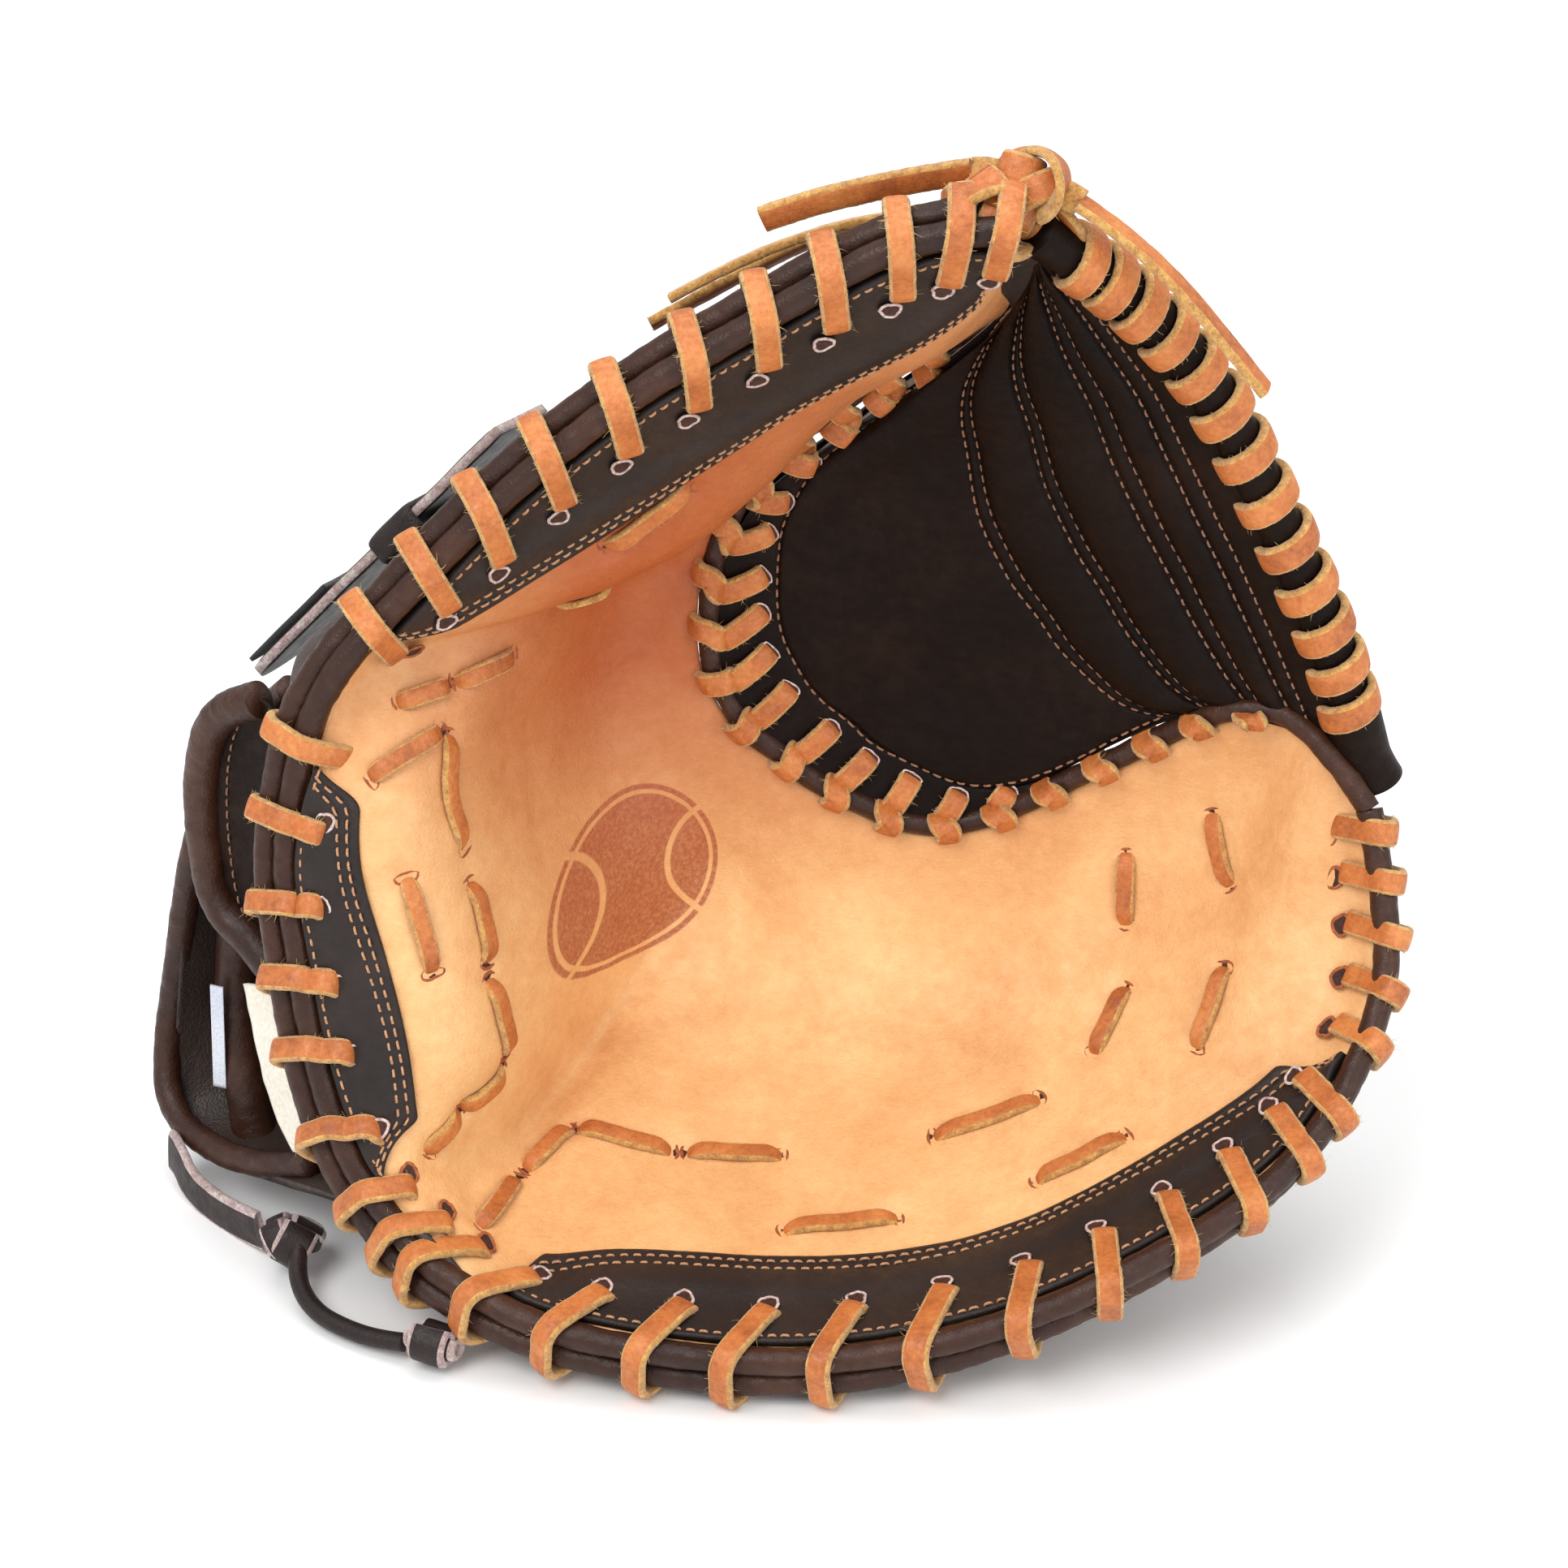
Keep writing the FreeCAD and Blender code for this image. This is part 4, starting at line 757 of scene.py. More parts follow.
def route(points, name="route"):
    """Points along the smooth NURBS line that has these control points, in metres."""
    curve = bpy.data.curves.new(name, "CURVE")
    curve.dimensions, curve.resolution_u = "3D", 16
    line = curve.splines.new("NURBS")
    line.points.add(len(points) - 1)
    for point, place in zip(line.points, mm(points)):
        point.co = (*place, 1)
    line.order_u, line.use_endpoint_u = 3, True
    obj = bpy.data.objects.new(name, curve)
    mesh = bpy.data.meshes.new_from_object(obj)
    found = np.array([v.co for v in mesh.vertices])
    bpy.data.objects.remove(obj)
    bpy.data.meshes.remove(mesh)
    bpy.data.curves.remove(curve)
    return found


def drawn(metres):
    return metres * 1000 + ORIGIN


for name, points in TAILS.items():
    path = route(points)
    line = drawn(path)
    heap = Heap()
    first, rest = np.subtract(points[1], points[0]), np.subtract(points[-1], points[1])
    square = unit(np.cross(first, rest).astype(float))
    ribbon(heap, line, square if name.endswith("right") else -square, fuzz=1.1)
    tail = heap.make("loose_" + name, LACE)
    settle(tail, "thumb_side", "tan_lace", name)

path = route(WRIST_CORD)
wrist_cord = tube_mesh("round_wrist_cord", drawn(path), 2.4, [DARK_LACE, PALE_EDGE], 16)
settle(wrist_cord, "finger_side", "dark_lace", "wrist_cord")


# ---------------------------------------------------------------- palm
THUMB_LOOPS = (0.22, 0.68, 1.16, 1.72, 2.25, 2.8, 3.32, 3.8, 4.27, 4.71, 5.36)
HEEL_LOOPS = (6.38, 6.88, 7.69, 8.37, 8.86, 9.42)
CREASE_LOOPS = (9.91, 10.31, 10.67)
FINGER_LOOPS = (11.28, 11.97, 12.5, 12.97, 13.47, 14.01, 14.56, 15.07, 15.5, 15.95, 16.42, 16.8)
TIP_LOOPS = (17.39, 17.85, 18.27, 18.62, 18.93)
ALL_LOOPS = THUMB_LOOPS + HEEL_LOOPS + CREASE_LOOPS + FINGER_LOOPS + TIP_LOOPS
# How far the laces drift back along the rim for each mm outward, and how far in their holes lie.
LACE_SLANT = np.array([(0, 0.35), (1, 0.45), (4.4, 0.55), (5.3, 0.3), (6.4, 0.2), (6.9, 0.3), (7.7, 0.5)]
                      + [(8.9, 0.6), (9.45, 0.8), (10, 0.6), (16.8, 0.45), (19, 0.3)])
LEG_NEAR_THUMB = [(0, 8.5), (1, 9.6), (4, 9.6), (4.8, 7), (6.2, 7), (7, 5.6)]
LEG_NEAR_FINGERS = [(9.5, 5.6), (10, 6.3), (11, 8), (14, 13), (15.6, 12.2), (16.8, 8), (19, 7.5)]
LACE_LEG = np.array(LEG_NEAR_THUMB + LEG_NEAR_FINGERS)
# Laces through the palm: station and place of one end, then of the other.
STITCHES = [(3.84, 0.36, 3.11, 0.33), (4.98, 0.56, 4.45, 0.6)]
STITCHES += [(6.24, 0.36, 6.26, 0.47), (6.27, 0.49, 6.2, 0.59), (6.68, 0.32, 6.58, 0.5), (6.65, 0.53, 7.41, 0.57)]
STITCHES += [(7.47, 0.435, 8.22, 0.42), (7.64, 0.56, 8.21, 0.545), (8.34, 0.54, 9.04, 0.56)]
STITCHES += [(9.15, 0.55, 9.32, 0.455), (9.38, 0.44, 9.82, 0.32)]
STITCHES += [(10.6, 0.31, 10.64, 0.47), (10.68, 0.49, 10.94, 0.56), (11.05, 0.56, 12.03, 0.54)]
STITCHES += [(12.15, 0.54, 12.82, 0.535), (13.93, 0.54, 14.85, 0.55), (12.99, 0.385, 13.74, 0.395)]
STITCHES += [(14.82, 0.395, 15.52, 0.39), (15.96, 0.855, 15.87, 0.745)]
STITCHES += [(17.32, 0.83, 17.37, 0.675), (15.79, 0.65, 15.38, 0.58), (16.95, 0.555, 16.3, 0.47)]


def leg_at(a):
    return np.interp(a, LACE_LEG[:, 0], LACE_LEG[:, 1])


def step_at(a):
    """Millimetres of palm for each unit of r near the rim."""
    return np.linalg.norm(front(a, 0.0) - front(a, 0.1), axis=-1) / 0.1


def bump_at(a, r, a0, r0, size):
    """A round bump about a place on the palm; size is in millimetres."""
    far = np.linalg.norm(front(a, r) - front(a0, r0), axis=-1)
    return bell(far, size)


def palm_relief(a, r):
    base = front(a, r)
    height = 0.45 * wrinkle(base, 10.0) + 0.8 * wrinkle(base, 26.0, 5.0)
    for a0, r0, a1, r1 in STITCHES:
        for aa, rr in ((a0, r0), (a1, r1)):
            height -= 1.0 * bump_at(a, r, aa, rr, 3.6)
        height -= 0.5 * bump_at(a, r, (a0 + a1) / 2, (r0 + r1) / 2, 6.0)
    for aa in CREASE_LOOPS + TIP_LOOPS + (5.36, 6.38):
        height -= 0.7 * bump_at(a, r, aa, leg_at(aa) / step_at(aa), 2.6)
    height -= 0.5 * bell(r, 0.03)
    height -= 0.6 * bell(1 - r, 0.02)
    return height


a, r = grid(0, LAST, 560, 0, 1, 130)
fine = 0.10 * wrinkle(front(a, r), 1.7, 3.0) + 0.07 * wrinkle(front(a, r) * np.array([1, 1, 0.35]), 1.1, 8.0)
TIP_BULGE = 4.0
tip_out = unit(palm_rim(float(LAST)) - palm_rim(LAST - 0.1))


def tip_corner(t):
    """The roll round the finger tips' corner, from the palm's rim to its edge at the web."""
    t = np.asarray(t)[..., None]
    start, end = palm_rim(float(LAST)), web_rim(float(LAST))
    return start + (end - start) * t + tip_out * TIP_BULGE * np.sin(np.pi * t)


pull = np.clip((a - 17.9) / 1.1, 0, 1) ** 1.6
pull = pull * np.sin(np.pi * np.clip(r, 0, 1)) ** 0.3
to_corner = (tip_corner(r) - front(LAST + 0 * a, r)) * pull[..., None]
skin = raised(a, r, palm_relief(a, r) + fine) + to_corner
palm = thick_sheet("palm_leather", skin, raised(a, r, -PALM) + to_corner, [TAN])
mitt(palm, "palm_leather", "palm_shell_thumb_side", "palm_shell_finger_side")


def taper(a, low, high, ends):
    return np.sin(np.clip(np.minimum(a - low, high - a) / ends, 0, 1) * np.pi / 2)


PATCHES = (
    ("thumb_patch", 0.1, 5.15, 0.35),
    ("heel_patch", 6.5, 9.8, 0.4),
    ("finger_patch", 10.95, 17.15, 0.35),
)
PATCH_TOP = 0.5 + PATCH
thread = Heap()
holes = Heap()


def patch_edge(a, low, high, ends):
    return 0.03 + 0.27 * taper(a, low, high, ends)


for name, low, high, ends in PATCHES:
    a, share = grid(low, high, 300, 0, 1, 34)
    r = 0.001 + (patch_edge(a, low, high, ends) - 0.001) * share
    inner = step_at(a[0])[None] * (patch_edge(a, low, high, ends) - r)
    height = PATCH_TOP + 0.25 * wrinkle(front(a, r), 12.0, 2.0) + 0.06 * wrinkle(front(a, r), 1.6, 2.0)
    height -= 0.35 * (bell(inner - 2.0, 0.7) + bell(inner - 4.1, 0.7))
    height -= 0.55 * bell(inner, 0.5)
    height += 0.9 * bell(inner - 9.5, 4.5)
    for aa in THUMB_LOOPS + HEEL_LOOPS + FINGER_LOOPS:
        if low < aa < high:
            height -= 0.7 * bump_at(a, r, aa, leg_at(aa) / step_at(aa), 3.0)
    patch = thick_sheet(name + "_skin", raised(a, r, height), raised(a, r, 0.1), [CHARCOAL])
    mitt(patch, "patch_leather", name)
    along = np.linspace(low, high, 400)
    edge = patch_edge(along, low, high, ends)
    for inset in (2.0, 4.1):
        r_row = edge - inset / step_at(along)
        keep = r_row > 0.02
        if inset > 3:
            keep &= (along > low + 0.05) & (along < high - 0.05)
        row = raised(along[keep], r_row[keep], PATCH_TOP - 0.12)
        stitch_row(thread, row, -normal(front, along[keep], r_row[keep]))
    r_row = 1.7 / step_at(along)
    stitch_row(thread, raised(along, r_row, PATCH_TOP + 0.05), -normal(front, along, r_row))

# ---------------------------------------------------------------- bindings
def slant_at(a):
    return np.interp(a, LACE_SLANT[:, 0], LACE_SLANT[:, 1])


def rolled(name, middle, radius, nodes, extra=None):
    path = even(middle(np.linspace(0, LAST, 900)), count=900)
    if extra is not None:
        path = even(np.vstack([path, extra]), count=960)
    points = tube_points(path, radius, 22, (0, 1, 0))
    folds = 0.26 * wrinkle(points, 8.0) + 0.20 * wrinkle(points, 3.1, 9.0) + 0.08 * wrinkle(points, 1.4, 4.0)
    obj = tube_mesh(name, path, radius + folds, [PLUM], 22, (0, 1, 0))
    mitt(obj, "binding_leather", *nodes)


corner = tip_corner(np.linspace(1, 0, 30))
rolled("palm_roll", palm_rim, BIND, ("palm_binding_thumb_side", "palm_binding_finger_side"))
rolled("back_roll", back_rim, BIND, ("back_binding_thumb_side", "back_binding_finger_side"))
web_nodes = ("web_binding_thumb_side", "web_binding_finger_side", "tip_binding")
rolled("web_roll", web_rim, WEB_BIND, web_nodes, corner)

# The leather of the thumb's tip is drawn in to the web's upper corner.
share, t = np.meshgrid(np.linspace(0, 1, 30), np.linspace(0, 1, 24))
near = raised(0.06 + 0 * share, 0.1 + 0.88 * share, 0.9 - 1.2 * np.abs(2 * t - 1) ** 3)
tab = near * (1 - t[..., None]) + web_front(0.02 + 0 * share, 0.97 - 0.92 * share) * t[..., None]
tab = tab + np.array([0, 1.2, 0]) * np.sin(np.pi * t)[..., None]
tab = thick_sheet("thumb_tip_tab", tab, tab + np.array([0.6, 1.6, -0.6]), [CHARCOAL])
mitt(tab, "web_leather")

# ---------------------------------------------------------------- web
WEB_ROWS = ((0.565, 0.59), (0.70, 0.722), (0.82, 0.848), (0.90, 0.928))


def web_puff(s, v):
    """How far the padded web stands out between its stitch rows."""
    ends = np.clip(np.minimum(s - 0.02, 0.985 - s) / 0.08, 0, 1)
    ends = np.sin(ends * np.pi / 2)
    height = 0 * s
    edges = [0.125] + [x for pair in WEB_ROWS for x in pair] + [1.0]
    for low, high, rise in zip(edges[0::2], edges[1::2], (2.2, 2.6, 2.6, 2.0, 0.6)):
        u = np.clip((v - low) / (high - low), 0, 1)
        height = height + rise * np.clip(4 * u * (1 - u), 0, 1) ** 0.55
    height *= ends
    for pair in WEB_ROWS:
        for row in pair:
            height -= 0.5 * bell(v - row, 0.006) * ends
        u = np.clip((v - pair[0]) / (pair[1] - pair[0]), 0, 1)
        height += 0.35 * np.clip(4 * u * (1 - u), 0, 1) * ends
    return height - 0.5 * bell(v - 0.12, 0.007)


s, v = np.meshgrid(np.linspace(0, 1, 300), np.linspace(-0.03, 0.99, 330))
base = web_front(s, v)
fine = 0.12 * wrinkle(base * np.array([0.6, 1, 1.8]), 3.0, 6.0)
puff = web_puff(s, v) + 0.35 * wrinkle(base, 14.0, 1.0) + fine
panel = thick_sheet("web_front", web_behind(s, v, -puff), web_behind(s, v, 2.2), [WEB])
mitt(panel, "web_leather", "web_front_panel_thumb_side", "web_front_panel_finger_side")
s, v = np.meshgrid(np.linspace(0, 1, 120), np.linspace(-0.055, 0.985, 120))
base = web_front(s, v)
rear = WEB_DEEP + 0.9 * wrinkle(base, 16.0, 4.0) * 0.5
panel = thick_sheet("web_back", web_behind(s, v, WEB_DEEP - 2.2), web_behind(s, v, rear), [WEB])
mitt(panel, "web_leather", "web_back_panel_thumb_side", "web_back_panel_finger_side")


def web_up(s, v):
    du = web_front(np.clip(s + 0.01, 0, 1), v) - web_front(np.clip(s - 0.01, 0, 1), v)
    dv = web_front(s, np.clip(v + 0.01, 0, 1)) - web_front(s, np.clip(v - 0.01, 0, 1))
    up = unit(np.cross(du, dv))
    return up * np.sign((up * np.array([0, -1.0, 0.3])).sum(-1, keepdims=True))


def web_row(s, v):
    path = web_behind(s, v, -web_puff(s, v) - 0.12)
    stitch_row(web_thread, path, web_up(s, v), length=2.5, radius=0.3)


web_thread = Heap()
for pair in WEB_ROWS:
    for row in pair:
        s = np.linspace(0.075, 0.965, 300)
        web_row(s, row + 0 * s)
WEB_BORDER = [(0.10, 0.12, 0), (0.3, 0.12, 0), (0.6, 0.12, 0), (0.82, 0.125, 0)]
WEB_BORDER += [(0.9, 0.16, 0), (0.945, 0.25, 0), (0.955, 0.4, 0), (0.962, 0.56, 0)]
border = smooth_path(WEB_BORDER, 400)
web_row(border[:, 0], border[:, 1])

path = even(web_behind(np.linspace(0.0, 1, 260), np.ones(260), WEB_DEEP / 2), count=300)
place = np.linspace(0, 1, 300)[:, None]
points = tube_points(path, WEB_ROLL, 26, (0, 1, 0))
radius = WEB_ROLL * (1 + 0 * place) + 0.25 * wrinkle(points, 7.0, 3.0) + 0.1 * wrinkle(points, 2.5, 3.0)
roll = tube_mesh("web_top", path, radius, [WEB], 26, (0, 1, 0))
mitt(roll, "web_leather", "web_top_roll_thumb_side", "web_top_roll_finger_side")
# The roll's leather ends below in a plain flap that lies over the palm's corner.
along = unit(path[-1] - path[-12])
sweep = np.linspace(-2.0, 2.0, 40)
sheet_out, sheet_in = [], []
one = unit(np.array([0, -1.0, 0.35]) - along * (along @ np.array([0, -1.0, 0.35])))
two = np.cross(along, one)
for depth in np.linspace(-14, 8, 30):
    ring = one * np.cos(sweep[:, None]) + two * np.sin(sweep[:, None])
    flare = WEB_ROLL + 0.4 + 1.6 * max(0, depth / 8) ** 1.5
    sheet_out.append(path[-1] + along * depth + ring * (flare + 1.3))
    sheet_in.append(path[-1] + along * depth + ring * flare)
flap = thick_sheet("web_end_flap", np.array(sheet_in), np.array(sheet_out), [WEB])
mitt(flap, "web_leather")

# ---------------------------------------------------------------- rim laces
laces = Heap()


def patch_rise(a, r):
    """How high the patch stands over the palm at a place; 0 where there is no patch."""
    for _, low, high, ends in PATCHES:
        if low + 0.05 < a < high - 0.05:
            inner = step_at(a) * (patch_edge(a, low, high, ends) - r)
            return PATCH_TOP + 0.9 * bell(inner - 9.5, 4.5)
    return 0.0


def rim_lace(a, heap):
    """One turn of lace: up out of its hole, over both rolls of the rim and in again behind."""
    near = palm_rim(np.clip([a - 0.05, a + 0.05], 0, LAST))
    along = unit(near[1] - near[0])
    one, two = palm_rim(np.array([a]))[0], back_rim(np.array([a]))[0]
    deep = unit((two - one) - along * ((two - one) @ along))
    out = rim_out(np.array([a]))[0]
    out = out - along * (out @ along)
    out = unit(out - deep * (out @ deep))
    around = BIND + 0.4 + LACE_T / 2
    step, leg = step_at(a), leg_at(a)
    base = patch_rise(a, leg / step)
    rising = (1.08, -3.0), (1.0, -0.6), (0.9, 0.7)
    line = [raised(a, leg * share / step, base + lift) for share, lift in rising]
    turns = np.radians([-64, -42, -18])
    touch = one + around * (deep * math.sin(turns[0]) + out * math.cos(turns[0]))
    rest, straight = raised(a, 0.6 * leg / step, base + 1.3), line[-1] * 0.55 + touch * 0.45 - deep * 0.7
    line.append(rest if (rest - straight) @ deep < 0 else straight)
    line += [one + around * (deep * math.sin(t) + out * math.cos(t)) for t in turns]
    line += [(one + two) / 2 + out * around]
    line += [two + around * (deep * math.sin(t) + out * math.cos(t)) for t in (0.35, 0.85, 1.35)]
    line += [two + deep * around * 0.9 - out * 5.5, two + deep * (around * 0.5) - out * 9.5]
    line = np.array([p - along * ((p - one) @ along) for p in line])
    slant = slant_at(a) * rng.uniform(0.92, 1.1)
    hole = line[1]
    line = line - along * (slant * ((line - hole) @ out))[:, None]
    path = smooth_path(line, 64)
    ribbon(heap, path, unit(along + out * slant), fuzz=0.9, width=LACE_W * rng.uniform(0.94, 1.03))
    inward = unit(along * slant - out)
    up = -normal(front, a, leg / step)
    centre = raised(a, leg / step, base + (1.1 if 6.5 < a < 9.8 else 0.35)) + inward * 2.0
    inward = unit(inward - up * (inward @ up))
    if base:
        torn_hole(holes, centre, up, inward, 4.6, 4.8, 1, 0, 0.42)
    else:
        torn_hole(holes, centre, up, inward, 4.2, 5.4, 2, 0, 0.5)


for a in ALL_LOOPS:
    rim_lace(a, laces)
mitt(laces.make("rim_lace", LACE), "tan_lace", "thumb_side_lace", "heel_lace", "finger_side_lace")

# ---------------------------------------------------------------- laces through the palm
laces = Heap()
for a0, r0, a1, r1 in STITCHES:
    t = np.linspace(0, 1, 26)
    a, r = a0 + (a1 - a0) * t, r0 + (r1 - r0) * t
    lift = 1.25 - 3.4 * np.abs(2 * t - 1) ** 7 + palm_relief(a, r) * 0.7
    path = raised(a, r, lift)
    up = -normal(front, a, r)
    along = unit(np.gradient(path, axis=0))
    across = np.cross(unit(along), up)
    ribbon(laces, path, -across, width=LACE_W * 0.76, thick=1.8, taper_ends=0.14, fuzz=0.5)
    for end in (0, -1):
        relief = palm_relief(a[end : end + 1 or None], r[end : end + 1 or None])[0]
        torn_hole(holes, raised(a[end], r[end], relief), up[end], across[end], 6.2, 3.0, 2, 0, 0.5)
nodes = ("thumb_crease_lace", "heel_stitch_lace", "finger_stitch_lace")
mitt(laces.make("palm_laces", LACE), "tan_lace", *nodes)

# ---------------------------------------------------------------- laces between the palm and the web
laces = Heap()
run = np.linspace(1.3, 18.6, 700)
line = web_rim(run)
far = run_along(line)
for place in np.linspace(0, far[-1], 20):
    a = float(np.interp(place, far, run))
    rim = web_rim(np.array([a]))[0]
    near = web_rim(np.clip([a - 0.1, a + 0.1], 0, LAST))
    along = unit(near[1] - near[0])
    face = -normal(front, np.array([a]), np.array([1.0]))[0]
    face = unit(face - along * (face @ along))
    partner = a + np.interp(a, [0, 5, 7, 9, 19], [0.3, 0.5, 0.0, -0.4, -0.35])
    edge = web_edge(np.array([partner]))[0]
    inward = unit(edge - rim)
    around = WEB_BIND + 0.4 + LACE_T / 2
    hole = raised(a - 0.02, 1 - 2.2 / step_at(a), -2.0)
    outward = unit(hole - rim - along * ((hole - rim) @ along))
    line1 = [rim + outward * (around + 0.8) - face * 2.5, rim + outward * around * 0.98 + face * 0.8]
    line1 += [rim + outward * around * 0.6 + face * around * 0.85, rim + face * around * 1.05]
    line1 += [rim + inward * around * 0.6 + face * around * 0.85, rim + inward * around * 1.02 + face * 0.6]
    line1 += [rim + inward * around * 1.1 - face * 3.5]
    line1 = np.array(line1)
    drift = along * np.linspace(-1.6, 1.8, len(line1))[:, None]
    ribbon(laces, smooth_path(line1 + drift, 34), -along, fuzz=0.8)
    s = partner / WEB_CORNER
    if s < 0.97:
        end = web_behind(np.array([s]), np.array([0.085]), np.array([-0.2]))[0]
        start = rim + inward * around * 0.9 + along * 2.2
        up = web_up(np.array([s]), np.array([0.06]))[0]
        mid = (start + end) / 2 + up * 1.9
        rise, fall = start * 0.72 + end * 0.28 + up * 1.8, end * 0.8 + start * 0.2 + up * 1.5
        line2 = np.array([start - up * 3.5, start + up * 0.4, rise, mid, fall, end + up * 0.1, end - up * 2.5])
        path = smooth_path(line2, 34)
        ribbon(laces, path, -np.cross(unit(end - start), up), width=LACE_W * 0.98, fuzz=0.8)
        along = unit(end - start)
        torn_hole(holes, end + along + up * 0.1, up, np.cross(along, up), 5.4, 2.4, 1, 0, 0.3)
mitt(laces.make("web_ties", LACE), "tan_lace", "web_base_lace_thumb_side", "web_base_lace_finger_side")

laces = Heap()
for share in np.linspace(0.11, 0.91, 13):
    near = web_behind(np.array([share - 0.01, share + 0.01]), np.ones(2), WEB_DEEP / 2)
    along, centre = unit(near[1] - near[0]), near.mean(0)
    one = unit(np.array([0, 1.0, 0]) - along * along[1])
    two = np.cross(along, one)
    turn = np.linspace(0.0, 2 * np.pi, 70)[:, None]
    ring = centre + hoop(one, two, turn) * (WEB_ROLL + 0.25 + LACE_T / 2) + along * (turn / np.pi - 1) * 3.4
    ribbon(laces, ring, along + 0 * ring, fuzz=0.5, width=LACE_W * rng.uniform(1.05, 1.16))
mitt(laces.make("web_top_spiral", LACE), "tan_lace", "web_top_lace_thumb_side", "web_top_lace_finger_side")

# ---------------------------------------------------------------- the knot at the thumb tip
KNOT = np.array([54, 72, 286.0])


def knot_line(scale, count=150, span=(0.04, 0.93)):
    """An overhand knot: three lobes that pass over and under each other."""
    t = np.linspace(*span, count) * 2 * np.pi
    x, y = np.sin(t) + 2 * np.sin(2 * t), np.cos(t) - 2 * np.cos(2 * t)
    return np.stack([x, -np.sin(3 * t) * 1.15, y], 1) * scale


heap = Heap()
line = knot_line(4.5) * np.array([1.1, 1.15, 0.8])
turn = np.radians(-24)
spin = np.array([[np.cos(turn), 0, np.sin(turn)], [0, 1, 0], [-np.sin(turn), 0, np.cos(turn)]])
line = line @ spin.T
centre_way = unit(line * np.array([1, 0, 1]))
across = np.cross(np.gradient(line, axis=0), centre_way)
over = KNOT + line + np.array([-3.0, -1, -4])
ribbon(heap, over, -unit(across + np.array([0.0, 0.1, 0.0])), thick=2.3, fuzz=0.5, width=8.2)
loop = np.linspace(0, 2 * np.pi, 50)[:, None]
for centre, one, two, along, size in (
    ((47, 68, 279), (0, -0.75, 0.66), (0.35, 0.62, 0.7), (0.94, -0.2, -0.25), 6.6),
    ((59, 74, 275), (0.25, -0.9, 0.3), (0.75, 0.4, 0.55), (0.6, 0, -0.8), 4.6),
):
    one, two = unit(np.array(one, float)), np.array(two, float)
    two = unit(two - one * (one @ two))
    ring = np.array(centre, float) + (np.cos(loop) * one + np.sin(loop) * two) * size
    ribbon(heap, ring, np.cross(one, two), thick=2.0, fuzz=0.4, width=5.6)
TIP_WRAPS = (
    ((-6.5, -1, -3), (0.75, 0.35, 0.45), 6.2),
    ((3.5, 0, -2), (-0.35, 0.45, 0.8), 6.6),
    ((-1, 2, -5), (0.9, 0.1, -0.3), 7.2),
    ((-0.5, 1.5, 2.5), (0.3, 0.4, 0.85), 4.2),
)
for centre, axis, size in TIP_WRAPS:
    axis = unit(np.array(axis, float))
    one = unit(np.cross(axis, [0.1, 1.0, 0.2]))
    two = np.cross(axis, one)
    ring = KNOT + np.array(centre, float) + (np.cos(loop) * one + np.sin(loop) * two * 0.9) * size
    ribbon(heap, ring, axis + 0 * ring, thick=2.3, fuzz=0.4, width=7.2)
for strand, side in (
    ([(54, 71, 281), (58, 70, 284), (62, 68, 285.4), (66.6, 66, 283.6)], (-0.55, -0.1, -0.83)),
    ([(55, 73, 283), (50, 75, 286.5), (46.5, 76.5, 287.4), (42.6, 78.2, 286.9)], (0.1, 0.6, 0.8)),
):
    ribbon(heap, smooth_path(strand, 24), np.array(side), thick=2.2, fuzz=0.3)
short = [(58, 74, 281), (63, 70, 279), (66, 72, 273), (64, 76, 267)]
ribbon(heap, smooth_path(short, 30), np.array([0.55, -0.75, 0.3]), thick=2.0, fuzz=0.4)
join = [(60, 80, 271), (66, 74, 270), (71, 72, 264), (70, 78, 258)]
ribbon(heap, smooth_path(join, 30), np.array([0.6, 0.2, 0.75]), thick=2.0, fuzz=0.4, width=5.5)
tip_knot = heap.make("thumb_tip_knot", LACE)
settle(tip_knot, "thumb_side", "tan_lace", "tip_knot")

# ---------------------------------------------------------------- the wrist opening
CUFF_LINE = [
    (-122, 100, 146),
    (-138, 112, 125),
    (-153, 114, 92),
    (-162, 117, 50),
    (-164, 107, 18),
    (-142, 82, 16),
    (-119, 63, 28),
]
FLAP = [(-130, 88, 148), (-143, 96, 138), (-149, 100, 117), (-149, 100, 98), (-146, 97, 85), (-137, 89, 78)]
FLAP_ROOT = [
    (-124, 80, 145),
    (-127, 84, 134),
    (-128, 84, 115),
    (-128, 82, 97),
    (-127, 80, 85),
    (-125, 80, 79),
]
INNER_LOOP = [(-134, 114, 100), (-143, 117, 70), (-146, 114, 40), (-143, 106, 17)]


def through(points, count, low=0.0, high=None):
    """A spline with one unit from each point to the next."""
    high = len(points) - 1 if high is None else high
    return spline(np.arange(float(len(points))), np.array(points, float), np.linspace(low, high, count))


def padded_tube(name, path, radius, nodes, slot="binding_leather", material=PLUM, folds=0.3, size=8.0):
    path = even(path, count=260)
    points = tube_points(path, radius, 24, (0, 1, 0))
    fine = 0.18 * wrinkle(points, 2.8, 5.0)
    swell = folds * wrinkle(points, size, 2.0) + fine + 0.08 * wrinkle(points, 1.3, 7.0)
    obj = tube_mesh(name, path, radius + swell, [material], 24, (0, 1, 0))
    return settle(obj, "finger_side", "binding_leather", *nodes)


padded_tube("cuff_roll", through(CUFF_LINE, 260, 0.1, 5.9), BIND + 0.2, ("cuff_binding",))
inner_loop = through(INNER_LOOP + [(-141, 103, 9)], 200)
padded_tube("little_finger_roll", inner_loop, 5.8, ("little_finger_loop",), folds=0.5, size=10.0)


